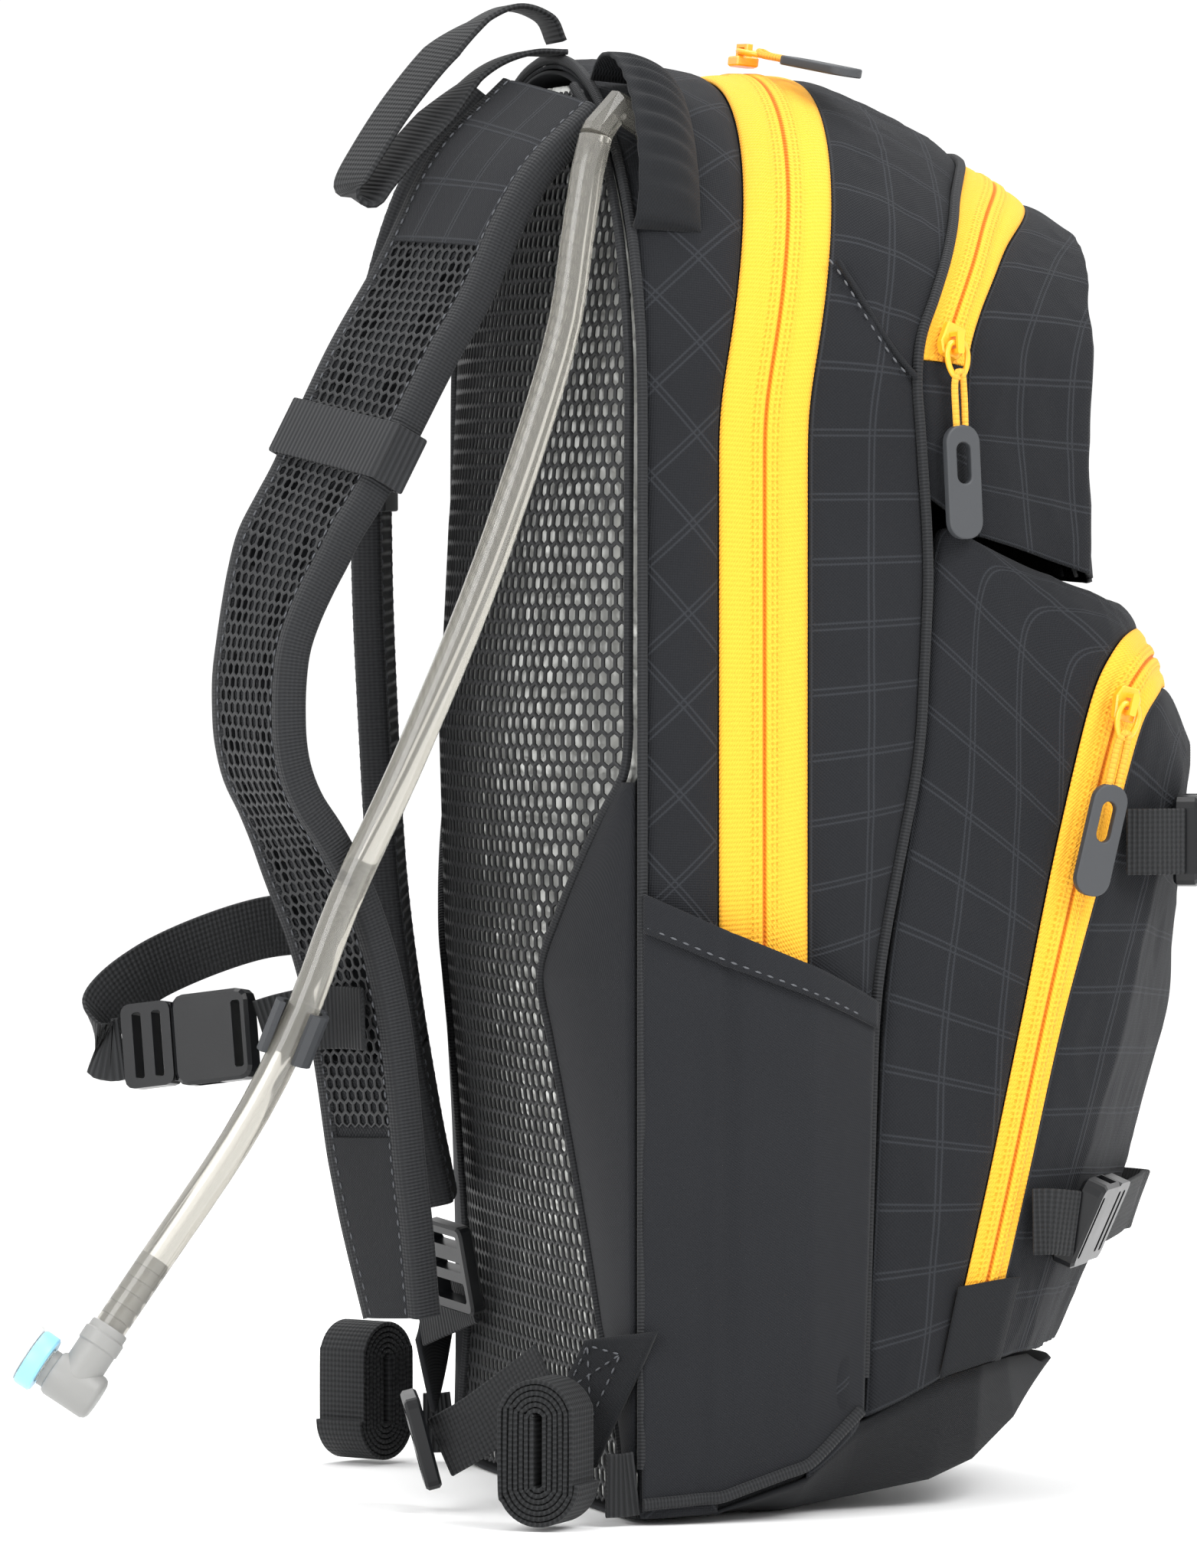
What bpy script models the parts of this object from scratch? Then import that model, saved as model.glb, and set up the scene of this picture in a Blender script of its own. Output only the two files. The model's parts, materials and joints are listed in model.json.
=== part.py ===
"""Hydration pack: hollow fabric shell, mesh back panel, reservoir with drink tube, harness, zips and buckles.

Frame: +Z up, origin at the middle of the flat base. -Y is the outer front of the pack, +Y the side that
lies on the wearer's back, and -X the wearer's left. Lengths in the tables are millimetres, and "depth" is
measured from the plane between the rear half and the front half of the pack; at() turns them into metres.
"""

import bmesh
import bpy
import math
import numpy as np
from mathutils import Matrix, Vector

# ---------------------------------------------------------------- driving dimensions (mm)
BASE_DEPTH = 52.0          # depth of the middle of the flat base, which becomes Y = 0
ZIP_LEAN = 0.22            # how far the main zip's plane leans forward above its corners, for each unit up
GAP = 0.35                 # clearance between neighbouring pieces
CLOTH = 1.6                # thickness of a fabric panel with its lining
CORNER_X = 5.0             # half the straight crown of the bag's arches
CORNER_Z = 350.0           # height where the arches' corners begin
BREAK_Z = 322.0            # height where the front pocket's top seam meets the gusset
U_CROWN = 0.033            # path values, from 0 at the crown to 1 at the foot, where the crown, the corner
U_CORNER = 0.33            # and the upper body end
U_BREAK = 0.388
WEBBING = 20.0             # width of the compression, waist and sternum webbing
WEB_THICK = 1.5
TUBE_OD = 10.6             # drink tube
STRAP_THICK = 8.0          # padded shoulder strap
MAIN_ZIP_R = 110.0         # corner radius of the main zip, the arc its slider follows
RING = 22                  # sides of a turned piece
ALONG = 38                 # steps along an arch

# One row per seam line of the main body, from the back panel's edge forward:
# half width, crown height, height at the break, foot height, and depth at given heights.
BODY_SEAMS = [
    (5.0, 115.0, 462.0, BREAK_Z, 1.5, [(0, 88), (462, 88)]),
    (5.0, 115.0, 457.4, BREAK_Z, 3.0, [(0, 62), (350, 62), (457.4, 38.4)]),
    (5.0, 115.0, 457.4, BREAK_Z, 13.0, [(0, 33), (350, 33), (457.4, 9.4)]),
    (5.0, 111.0, 431.0, BREAK_Z, 30.0,
     [(30, 14), (162, 10), (187, 6), (240, -5), (300, -8), (367, -3.3), (392, -17), (420, -32), (431, -46)]),
    (5.0, 106.0, 418.0, 307.0, 30.0, [(300, -27), (345, -21), (367, -23), (382, -30.5), (402, -45.6), (418, -68)]),
    (5.0, 88.0, 408.0, 293.0, 30.0, [(290, -66), (350, -66), (380, -70), (408, -80)]),
    (0.0, 0.0, 400.0, 289.0, 30.0, [(289, -98), (305, -93), (340, -86), (378, -81), (400, -77)]),
]

# The front pocket, the same way, as points (half width, depth, height) from the foot to the crown.
POCKET_SEAMS = [
    [(111, 14, 31), (112, 11, 100), (112, 8, 170), (111, -5, 240), (109.5, -8, 318), (107, -26, 306),
     (92, -64, 292), (48, -82, 289), (0, -99.5, 287.5)],
    [(108, -14, 44), (109, -27, 99), (109, -39, 155), (109, -49, 205), (108, -63, 262), (101, -75, 277),
     (82, -86, 280), (42, -100, 279), (0, -107, 278)],
    [(105, -29, 48), (106, -41, 99), (107, -53, 155), (107, -66, 200), (105, -80, 250), (97, -89, 259),
     (76, -97, 261), (40, -110, 260), (0, -117, 258)],
    [(88, -46, 50), (92, -62, 99), (94, -77, 155), (94, -88, 200), (91, -97, 232), (78, -103, 240),
     (60, -110, 242), (32, -118, 241), (0, -122, 240)],
    [(0, -84, 47), (0, -105, 93), (0, -122, 150), (0, -125, 190), (0, -126, 205), (0, -126, 215),
     (0, -126, 220), (0, -125.5, 224), (0, -125, 227)],
]

# Harness routes, as points (x, depth, height).
STRAP_LEFT = [(-47, 97, 447), (-48, 120, 424), (-51, 139, 388), (-54, 153, 365), (-55, 171, 330),
              (-55, 185, 305), (-55, 194, 277), (-55, 196, 254), (-54, 193, 234), (-53, 182, 212),
              (-52, 171, 187), (-52, 164, 162), (-52, 160, 136), (-52, 157, 111), (-52, 153, 86),
              (-52, 149, 62)]
STRAP_RIGHT = [(50, 97, 447), (51, 116, 424), (52, 128, 390), (52, 133, 355), (52, 133, 300), (52, 131, 250),
               (52, 128, 200), (52, 123, 160), (52, 116, 120), (52, 110, 92)]
HOSE_ROUTE = [(-30, 44, 52), (-33, 44, 75), (-48, 44, 120), (-60, 44, 200), (-66, 45, 300), (-70, 50, 370),
              (-73.5, 61, 408), (-78.5, 73.5, 435), (-83, 84, 445), (-87, 93, 438), (-90, 98, 424),
              (-92, 102, 402),
              (-91, 108, 367), (-88, 130, 299), (-84, 154, 240), (-81, 174, 196), (-79, 189, 157),
              (-77, 207, 122), (-75, 235, 81), (-74, 248, 62)]
PORT_SHARE = 0.5120        # share of the hose's whole length that lies hidden, up to its port


# ---------------------------------------------------------------- small helpers
def at(x, depth, z):
    return Vector((x, depth - BASE_DEPTH, z)) * 0.001


def clear_scene():
    for old in list(bpy.data.objects):
        bpy.data.objects.remove(old, do_unlink=True)


def material(name, colour, roughness, metallic=0.0, alpha=1.0):
    made = bpy.data.materials.new(name)
    made.use_nodes = True
    surface = made.node_tree.nodes["Principled BSDF"]
    surface.inputs["Base Color"].default_value = (*colour, 1.0)
    surface.inputs["Roughness"].default_value = roughness
    surface.inputs["Metallic"].default_value = metallic
    surface.inputs["Alpha"].default_value = alpha
    made.diffuse_color = (*colour, alpha)
    return made


def finish(name, mesh, look, smooth=None, parent=None):
    """Makes the object of a mesh. A smooth angle shades it round, with sharp edges above that angle."""
    obj = bpy.data.objects.new(name, mesh)
    bpy.context.scene.collection.objects.link(obj)
    mesh.materials.append(look)
    if smooth:
        mesh.shade_smooth()
        mesh.set_sharp_from_angle(angle=math.radians(smooth))
    if parent:
        obj.parent = parent
        obj.matrix_parent_inverse = parent.matrix_world.inverted()
    return obj


def pivot(name, place, axis):
    """An empty on a joint's axis, with its local Z along that axis."""
    empty = bpy.data.objects.new(name, None)
    bpy.context.scene.collection.objects.link(empty)
    empty.empty_display_size = 0.01
    turn = Vector(axis).normalized().to_track_quat("Z", "Y").to_matrix().to_4x4()
    empty.matrix_world = Matrix.Translation(place) @ turn
    bpy.context.view_layer.update()
    return empty


def closed_mesh(name, points, faces):
    mesh = bpy.data.meshes.new(name)
    mesh.from_pydata([tuple(p) for p in points], [], faces)
    shape = bmesh.new()
    shape.from_mesh(mesh)
    bmesh.ops.remove_doubles(shape, verts=shape.verts, dist=1e-6)
    bmesh.ops.recalc_face_normals(shape, faces=shape.faces)
    shape.to_mesh(mesh)
    shape.free()
    return mesh


def smooth_through(points, count):
    """A curve through the points (Catmull-Rom), sampled evenly along its length."""
    p = np.array([tuple(q) for q in points], float)
    p = np.vstack([2 * p[0] - p[1], p, 2 * p[-1] - p[-2]])
    dense = []
    for a, b, c, d in zip(p[:-3], p[1:-2], p[2:-1], p[3:]):
        slope, bend, twist = c - a, 2 * a - 5 * b + 4 * c - d, 3 * b - a - 3 * c + d
        for t in np.linspace(0, 1, 24, endpoint=False):
            dense.append(b + 0.5 * (slope * t + bend * t**2 + twist * t**3))
    dense.append(p[-2])
    dense = np.array(dense)
    run = np.concatenate([[0], np.cumsum(np.linalg.norm(np.diff(dense, axis=0), axis=1))])
    even = np.linspace(0, run[-1], count)
    return [Vector([np.interp(s, run, dense[:, k]) for k in range(3)]) for s in even]


# ---------------------------------------------------------------- surfaces of the bag
def body_seam_point(seam, u):
    """Point of one seam line at path value u, from -1 at the left foot to 1 at the right foot."""
    corner_x, half, crown, break_z, foot, depths = BODY_SEAMS[seam]
    side, s = math.copysign(1.0, u), abs(u)
    if s < U_CROWN:
        x, z = corner_x * s / U_CROWN, crown
    elif s < U_CORNER:
        turn = (s - U_CROWN) / (U_CORNER - U_CROWN) * math.pi / 2
        x = corner_x + (half - corner_x) * math.sin(turn)
        z = CORNER_Z + (crown - CORNER_Z) * math.cos(turn)
    elif s < U_BREAK:
        x, z = half, CORNER_Z + (break_z - CORNER_Z) * (s - U_CORNER) / (U_BREAK - U_CORNER)
    else:
        x, z = half, break_z + (foot - break_z) * (s - U_BREAK) / (1 - U_BREAK)
    depth = np.interp(z, [d[0] for d in depths], [d[1] for d in depths])
    return np.array([side * x, depth, z])


def body_point(u, v):
    low = min(int(v), len(BODY_SEAMS) - 2)
    share = v - low
    return (1 - share) * body_seam_point(low, u) + share * body_seam_point(low + 1, u)


def pocket_point(u, v):
    low = min(int(v), len(POCKET_SEAMS) - 2)
    share = v - low
    place = (1 - abs(u)) * (len(POCKET_SEAMS[0]) - 1)
    rows = []
    for seam in (low, low + 1):
        table = np.array(POCKET_SEAMS[seam], float)
        rows.append([np.interp(place, range(len(table)), table[:, k]) for k in range(3)])
    point = (1 - share) * np.array(rows[0]) + share * np.array(rows[1])
    point[0] *= math.copysign(1.0, u)
    return point


def outward(surface, u, v, most_v):
    """Unit normal of a surface, away from the middle of the bag."""
    du, dv = 0.012, 0.15
    along = surface(min(u + du, 1), v) - surface(max(u - du, -1), v)
    across = surface(u, min(v + dv, most_v)) - surface(u, max(v - dv, 0))
    normal = np.cross(along, across)
    length = np.linalg.norm(normal)
    if length < 1e-6:
        return np.array([0.0, -1.0, 0.0])
    if v == most_v:
        normal[0] = 0.0
        length = np.linalg.norm(normal)
    normal = normal / length
    middle = np.array([0.0, 20.0, 200.0])
    return normal if normal @ (surface(u, v) - middle) > 0 else -normal


def panel(name, surface, most_v, us, vs, keep, look, thick=CLOTH, lift=0.0):
    """A fabric panel: the cells of the (u, v) grid that keep() allows, from the surface inwards.

    Where the grid reaches the surface's spine, its left and right halves meet there and are joined.
    """
    to_spine = vs[-1] == most_v
    points, place = [], {}
    for i, u in enumerate(us):
        for j, v in enumerate(vs):
            p, n = surface(u, v), outward(surface, u, v, most_v)
            raised = lift(u, v) if callable(lift) else lift
            place[i, j] = len(points)
            points.append(at(*(p + n * raised)))
            points.append(at(*(p + n * (raised - thick))))
    cells = {(i, j) for i in range(len(us) - 1) for j in range(len(vs) - 1)
             if keep((us[i] + us[i + 1]) / 2, (vs[j] + vs[j + 1]) / 2)}
    faces = []
    for i, j in cells:
        a, b, c, d = place[i, j], place[i + 1, j], place[i + 1, j + 1], place[i, j + 1]
        faces.append((a, b, c, d))
        faces.append((d + 1, c + 1, b + 1, a + 1))
        for near, p, q in (((i, j - 1), a, b), ((i + 1, j), b, c), ((i, j + 1), c, d), ((i - 1, j), d, a)):
            if near not in cells and not (to_spine and near[1] == len(vs) - 1):
                faces.append((q, p, p + 1, q + 1))
    used = sorted({k for face in faces for k in face})
    number = {k: n for n, k in enumerate(used)}
    mesh = closed_mesh(name, [points[k] for k in used], [tuple(number[k] for k in f) for f in faces])
    return finish(name, mesh, look, smooth=50)


def arch_steps(low=-1.0, high=1.0, count=ALONG, extra=()):
    """Path values along an arch, closer together round the corners."""
    base = np.linspace(-1, 1, count + 1)
    bent = np.sign(base) * (0.45 * np.abs(base) + 0.55 * np.abs(base) ** 2)
    values = [v for v in bent if low < v < high] + [low, high, *extra]
    return sorted(set(np.round(values, 5)))


def always(_u, _v):
    return True


# ---------------------------------------------------------------- solid builders
def ribbon(name, route, width, thick, across, look, steps=20, parent=None, smooth=50):
    """A strap: a flat section swept along a smooth route.

    across is its width direction, as one vector or one for each point of the route.
    """
    path = smooth_through([at(*p) for p in route], steps + 1)
    wides = np.array(across if isinstance(across[0], (tuple, list)) else [across] * len(route), float)
    widths = np.array(width if isinstance(width, (tuple, list)) else [width] * len(route), float)
    shares = np.linspace(0, 1, len(route))
    points, faces = [], []
    for k, centre in enumerate(path):
        share = k / steps
        tangent = (path[min(k + 1, steps)] - path[max(k - 1, 0)]).normalized()
        side = Vector([np.interp(share, shares, wides[:, c]) for c in range(3)])
        side = (side - tangent * side.dot(tangent)).normalized()
        normal = tangent.cross(side)
        half = np.interp(share, shares, widths) * 0.0005
        flat = thick * 0.0005
        for a, b in ((-1, -1), (1, -1), (1, 1), (-1, 1)):
            points.append(centre + side * half * a + normal * flat * b)
    for k in range(steps):
        for e in range(4):
            a, b = 4 * k + e, 4 * k + (e + 1) % 4
            faces.append((a, b, b + 4, a + 4))
    faces += [(3, 2, 1, 0), tuple(4 * steps + e for e in range(4))]
    return finish(name, closed_mesh(name, points, faces), look, smooth, parent)


def plate(name, outline, low, high, frame, look, bevel=0.0, parent=None):
    """A prism: an outline (mm, in the frame's local XY) raised from low to high along local Z."""
    points = [frame @ Vector((x * 0.001, y * 0.001, z * 0.001)) for z in (low, high) for x, y in outline]
    n = len(outline)
    faces = [tuple(reversed(range(n))), tuple(range(n, 2 * n))]
    faces += [(k, (k + 1) % n, n + (k + 1) % n, n + k) for k in range(n)]
    obj = finish(name, closed_mesh(name, points, faces), look, 40, parent)
    if bevel:
        soften(obj, bevel)
    return obj


def soften(obj, width, segments=1):
    made = obj.modifiers.new("soft_edges", "BEVEL")
    made.width = width * 0.001
    made.segments = segments
    made.limit_method = "ANGLE"
    made.angle_limit = math.radians(50)
    return made


def cut(obj, cutter, operation="DIFFERENCE"):
    cutter.hide_render = True
    cutter.display_type = "WIRE"
    made = obj.modifiers.new(cutter.name, "BOOLEAN")
    made.operation = operation
    made.object = cutter
    return obj


def rounded(length, width, radius, steps=3, centre=(0.0, 0.0)):
    """Outline of a rectangle with round corners, counter-clockwise."""
    points = []
    for quarter, (sx, sy) in enumerate(((1, 1), (-1, 1), (-1, -1), (1, -1))):
        cx, cy = centre[0] + sx * (length / 2 - radius), centre[1] + sy * (width / 2 - radius)
        for k in range(steps + 1):
            turn = math.pi / 2 * (quarter + k / steps)
            points.append((cx + radius * math.cos(turn), cy + radius * math.sin(turn)))
    return points


def frame_from(origin, along, up):
    """Local X along, local Z nearly up."""
    x = Vector(along).normalized()
    z = Vector(up)
    z = (z - x * z.dot(x)).normalized()
    y = z.cross(x)
    made = Matrix((x, y, z)).transposed().to_4x4()
    made.translation = origin
    return made


def turned(name, profile, frame, look, sides=RING, parent=None):
    """A closed profile of (radius, height) in mm turned about the frame's local Z."""
    points, faces = [], []
    for k in range(sides):
        turn = 2 * math.pi * k / sides
        for r, z in profile:
            points.append(frame @ Vector((r * math.cos(turn) * 0.001, r * math.sin(turn) * 0.001, z * 0.001)))
    n = len(profile)
    for k in range(sides):
        for e in range(n):
            a, b = k * n + e, k * n + (e + 1) % n
            c, d = ((k + 1) % sides) * n + (e + 1) % n, ((k + 1) % sides) * n + e
            faces.append((a, b, c, d))
    mesh = closed_mesh(name, points, faces)
    shape = bmesh.new()
    shape.from_mesh(mesh)
    bmesh.ops.dissolve_degenerate(shape, edges=shape.edges, dist=1e-6)
    bmesh.ops.recalc_face_normals(shape, faces=shape.faces)
    shape.to_mesh(mesh)
    shape.free()
    return finish(name, mesh, look, 40, parent)


def hose(name, route, first, last, diameter, look, spacing=2.5):
    """A tube of round section along a stretch of a smooth route, a point every few diameters."""
    fine = smooth_through([at(*p) for p in route], 1200)
    fine = fine[int(first * 1199):int(last * 1199) + 1]
    length = sum((b - a).length for a, b in zip(fine, fine[1:])) * 1000
    path = smooth_through(fine[::12] + [fine[-1]], max(8, int(length / (spacing * diameter))) + 1)
    path = [path[0], fine[3]] + path[1:-1] + [fine[-4], path[-1]]      # its ends follow the route exactly
    curve = bpy.data.curves.new(name, "CURVE")
    curve.dimensions = "3D"
    curve.bevel_depth = diameter * 0.0005
    curve.bevel_resolution = 3
    curve.use_fill_caps = True
    line = curve.splines.new("POLY")
    line.points.add(len(path) - 1)
    for point, place in zip(line.points, path):
        point.co = (*place, 1.0)
    line.use_smooth = True
    obj = bpy.data.objects.new(name, curve)
    bpy.context.scene.collection.objects.link(obj)
    curve.materials.append(look)
    return obj, path


# ---------------------------------------------------------------- the fabric shell
def build_shell(looks):
    fabric, zip_tape = looks["fabric"], looks["zip"]
    gap_v = {0: 0.014, 1: 0.012, 2: 0.012, 3: 0.016, 4: 0.02, 5: 0.02}
    steps = arch_steps()
    panel("rear_gusset", body_point, 6, steps, [0.03, 0.5, 1 - gap_v[0]], always, fabric)
    panel("main_zip_tape", body_point, 6, steps, [1 + gap_v[1], 1.5, 2 - gap_v[1]], always, zip_tape)

    u_zip = 0.295
    gap_u = 0.0016
    split = arch_steps(extra=(-u_zip - gap_u, -u_zip + gap_u, u_zip - gap_u, u_zip + gap_u))
    panel("mid_gusset", body_point, 6, arch_steps(), [2 + gap_v[2], 2.35, 2.7, 3 - gap_v[3]], always, fabric)
    top = [u for u in split if abs(u) <= U_BREAK] + [-U_BREAK, U_BREAK]
    top = sorted(set(np.round(top, 5)))
    panel("top_zip_tape", body_point, 6, [u for u in top if abs(u) <= u_zip - gap_u + 1e-6],
          [3 + gap_v[3], 3.5, 4 - gap_v[4]], always, zip_tape)
    panel("upper_front_panel", body_point, 6, top,
          [3 + gap_v[3], 3.5, 4 - gap_v[4], 4 + gap_v[4], 4.35, 4.7, 5, 5.33, 5.66, 6],
          lambda u, v: v > 4 + gap_v[4] or abs(u) > u_zip + gap_u / 2, fabric)

    pocket = arch_steps(count=32)
    panel("front_pocket_gusset", pocket_point, 4, pocket, [0.035, 0.35, 0.7, 0.985], always, fabric)
    panel("front_zip_tape", pocket_point, 4, pocket, [1.015, 1.5, 1.985], always, zip_tape)
    panel("front_pocket_panel", pocket_point, 4, pocket, [2.015, 2.5, 3, 3.33, 3.66, 4], always, fabric)
    build_bottom(fabric)
    for side, word in ((-1, "left"), (1, "right")):
        build_side_pocket("side_pocket_" + word, side, looks["plain"])


def build_bottom(look):
    """The bottom: flat under the rear compartment, then rising to the front pocket's foot."""
    rows = [(113.2, 87.4, 0.0, 88.5), (114.6, 62, 0.0, 62), (114.6, 33, 0.0, 33), (110.4, 14, 3.0, 12),
            (107.0, -14, 8.0, -22), (102.5, -27.5, 14.0, -40), (84.0, -42, 26.0, -62),
            (45.0, -61, 41.0, -80.5)]
    edges = [1.0, 2.4, 12.2, 29.4, 43.0, 46.0, 47.0, 45.0]
    across = [-1.0, -0.93, -0.72, -0.35, 0.0, 0.35, 0.72, 0.93, 1.0]
    points, faces = [], []
    for (half, depth, middle_z, middle_depth), edge_z in zip(rows, edges):
        for s in across:
            lift = max(0.0, (abs(s) - 0.72) / 0.28) ** 1.5
            shift = 1 - s * s
            z = middle_z + (edge_z - middle_z) * lift
            d = depth + (middle_depth - depth) * shift
            points.append(at(s * (half - 2.4), d, z))
            points.append(at(s * (half - 2.4), d, z + CLOTH))
    wide = len(across)
    for j in range(len(rows) - 1):
        for i in range(wide - 1):
            a, b = 2 * (j * wide + i), 2 * (j * wide + i + 1)
            c, d = b + 2 * wide, a + 2 * wide
            faces += [(a, b, c, d), (d + 1, c + 1, b + 1, a + 1)]
            if j == 0:
                faces.append((b, a, a + 1, b + 1))
            if j == len(rows) - 2:
                faces.append((d, c, c + 1, d + 1))
            if i == 0:
                faces.append((a, d, d + 1, a + 1))
            if i == wide - 2:
                faces.append((c, b, b + 1, c + 1))
    finish("bottom_panel", closed_mesh("bottom_panel", points, faces), look, 50)


def build_side_pocket(name, side, look):
    """The stretch pocket low on each side, sewn along three edges and open along its slanting top edge."""
    columns = np.linspace(0.06, 2.94, 9)
    rows = np.linspace(0, 1, 7)
    points, place = [], {}
    for i, v in enumerate(columns):
        foot = np.interp(v, [0, 1, 2, 3], [4, 6, 16, 34])
        top = np.interp(v, [0, 3], [197, 162])
        for j, t in enumerate(rows):
            z = foot + (top - foot) * t
            p = body_point(side * (U_BREAK + (1 - U_BREAK) * 0.5), v)
            seam_depths = [88, 62, 33, np.interp(z, *zip(*BODY_SEAMS[3][5]))]
            depth = np.interp(v, range(4), seam_depths)
            belly = math.sin(math.pi * i / (len(columns) - 1))
            out = GAP + CLOTH + 7.0 * belly**0.7 * t**0.8
            place[i, j] = len(points)
            points.append(at(p[0] + side * out, depth, z))
            points.append(at(p[0] + side * (out - CLOTH), depth, z))
    faces = []
    last_i, last_j = len(columns) - 1, len(rows) - 1
    for i in range(last_i):
        for j in range(last_j):
            a, b, c, d = place[i, j], place[i + 1, j], place[i + 1, j + 1], place[i, j + 1]
            faces += [(a, b, c, d), (d + 1, c + 1, b + 1, a + 1)]
            faces += [(b, a, a + 1, b + 1)] if j == 0 else []
            faces += [(d, c, c + 1, d + 1)] if j == last_j - 1 else []
            faces += [(a, d, d + 1, a + 1)] if i == 0 else []
            faces += [(c, b, b + 1, c + 1)] if i == last_i - 1 else []
    finish(name, closed_mesh(name, points, faces), look, 50)


# ---------------------------------------------------------------- back panel
def back_half_width(z):
    """Half width of the bag's back outline at a height."""
    if z < CORNER_Z:
        return 112.5
    rise = (z - CORNER_Z) / (457.0 - CORNER_Z)
    return CORNER_X + (112.5 - CORNER_X) * math.sqrt(max(0.0, 1 - rise * rise))


def back_depth(x, z):
    """Depth of the back panel's outer face, which bulges towards the wearer."""
    swell = np.interp(z, [0, 44, 99, 174, 249, 312, 400, 460], [0.5, 3, 12, 23, 26, 21, 9, 0])
    reach = min(1.0, abs(x) / max(back_half_width(z), 60.0))
    return 89.0 + swell * (1 - reach**2.2)


def mesh_half_width(z):
    """Half width of the open mesh, which narrows at the waist between the lumbar wings."""
    return min(np.interp(z, [6, 20, 60, 170, 237], [104, 103, 85, 61, 111]), back_half_width(z) - 1.5)


def back_sheet(name, x_low, x_high, zs, offset, thick, look, columns):
    """A sheet following the back panel, between two edges given as functions of height."""
    points, faces, n = [], [], columns + 1
    for z in zs:
        for k in range(n):
            x = x_low(z) + (x_high(z) - x_low(z)) * k / columns
            d = back_depth(x, z) - offset
            points += [at(x, d, z), at(x, d - thick, z)]
    for j in range(len(zs) - 1):
        for i in range(columns):
            a, b = 2 * (j * n + i), 2 * (j * n + i + 1)
            c, d = b + 2 * n, a + 2 * n
            faces += [(a, b, c, d), (d + 1, c + 1, b + 1, a + 1)]
            faces += [(b, a, a + 1, b + 1)] if j == 0 else []
            faces += [(d, c, c + 1, d + 1)] if j == len(zs) - 2 else []
            faces += [(a, d, d + 1, a + 1)] if i == 0 else []
            faces += [(c, b, b + 1, c + 1)] if i == columns - 1 else []
    return finish(name, closed_mesh(name, points, faces), look, 50)


def build_back(looks):
    heights = [4, 20, 60, 100, 135, 170, 203, 237, 275, 312, 350, 385, 410, 430, 445, 453]
    left_edge = lambda z: -mesh_half_width(z)
    back_sheet("back_mesh", left_edge, mesh_half_width, heights, 0.0, 3.0, looks["mesh"], 10)
    back_sheet("insulating_film", left_edge, mesh_half_width, heights, 3.0 + 4 * GAP, 0.8, looks["film"], 10)
    low = [4, 20, 60, 100, 135, 170, 203, 232]
    for side, word in ((-1, "left"), (1, "right")):
        inner = lambda z, s=side: s * (mesh_half_width(z) + 2 * GAP)
        outer = lambda z, s=side: s * back_half_width(z)
        ends = (outer, inner) if side < 0 else (inner, outer)
        back_sheet("lumbar_wing_" + word, *ends, low, 0.0, 3.0, looks["plain"], 3)
    outline = [(-92, 16), (92, 16), (92, 360), (70, 400), (-70, 400), (-92, 360)]
    flat = frame_from(at(0, 36, 0), (1, 0, 0), (0, -1, 0))
    plate("reservoir_sleeve", outline, 0.0, CLOTH, flat, looks["plain"])


# ---------------------------------------------------------------- reservoir
def build_reservoir(looks):
    """The bladder, its screw cap facing forward, and the hose fitting low on the same face."""
    face = frame_from(at(0, 54, 0), (1, 0, 0), (0, 1, 0))
    outline = rounded(150, 330, 34, 4, (0, -185))
    bladder = plate("reservoir", outline, 0.0, 31.0, face, looks["film_blue"], 9.0)
    neck = plate("reservoir_neck", rounded(52, 52, 25.9, 5, (0, -275)), -3.0, 2.0, face, looks["film_blue"])
    cut(bladder, neck, "UNION")
    cap_place = at(0, 50.6, 275)
    cap_pivot = pivot("cap_turn", cap_place, (0, -1, 0))
    turned("reservoir_cap", [(0, 0), (36, 0), (38, -1.2), (38, -2.4), (0, -2.4)][::-1],
           frame_from(cap_place, (1, 0, 0), (0, 1, 0)), looks["blue"], 28, cap_pivot)


# ---------------------------------------------------------------- harness
def strap_frames(route, across, share):
    """Centre, tangent, width direction and face normal of a strap at a share of its length."""
    path = smooth_through([at(*p) for p in route], 401)
    k = int(share * 400)
    tangent = (path[min(k + 2, 400)] - path[max(k - 2, 0)]).normalized()
    side = Vector(across)
    side = (side - tangent * side.dot(tangent)).normalized()
    return path[k], tangent, side, tangent.cross(side)


def strap_keeper(name, route, across, share, width, look, tall=19.0, slack=0.9, thick=1.4):
    """An elastic band round a shoulder strap: a hollow rectangle, open at both ends."""
    centre, tangent, side, normal = strap_frames(route, across, share)
    points, faces = [], []
    for end in (-tall / 2, tall / 2):
        for wall in (0.0, thick):
            a, b = width / 2 + slack + wall, STRAP_THICK / 2 + slack + wall
            for sx, sy in ((-1, -1), (1, -1), (1, 1), (-1, 1)):
                points.append(centre + (tangent * end + side * a * sx + normal * b * sy) * 0.001)
    for k in range(4):
        n = (k + 1) % 4
        inner0, outer0, inner1, outer1 = k, 4 + k, 8 + k, 12 + k
        faces += [(outer0, 4 + n, 12 + n, outer1), (inner0, inner1, 8 + n, n)]
        faces += [(inner0, n, 4 + n, outer0), (outer1, 12 + n, 8 + n, inner1)]
    return finish(name, closed_mesh(name, points, faces), look)


def ladder_lock(name, top, down, across, look):
    """The strap's adjuster: a frame with a bar for the strap above and two bars for the webbing below."""
    x = Vector(down).normalized()
    y = Vector(across)
    y = (y - x * y.dot(x)).normalized()
    frame = frame_from(at(*top), x, x.cross(y))
    body = plate(name, rounded(30, 27, 3, 3, (15, 0)), -2.6, 2.6, frame, look, 0.9)
    for k, (near, far) in enumerate(((3.2, 7.0), (12.0, 15.4), (19.0, 26.0))):
        hollow = rounded(far - near, 20.8, 0.9, 1, ((near + far) / 2, 0))
        slot = plate(f"{name}_slot_{k}", hollow, -6, 6, frame, look)
        cut(body, slot)
    return body


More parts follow.
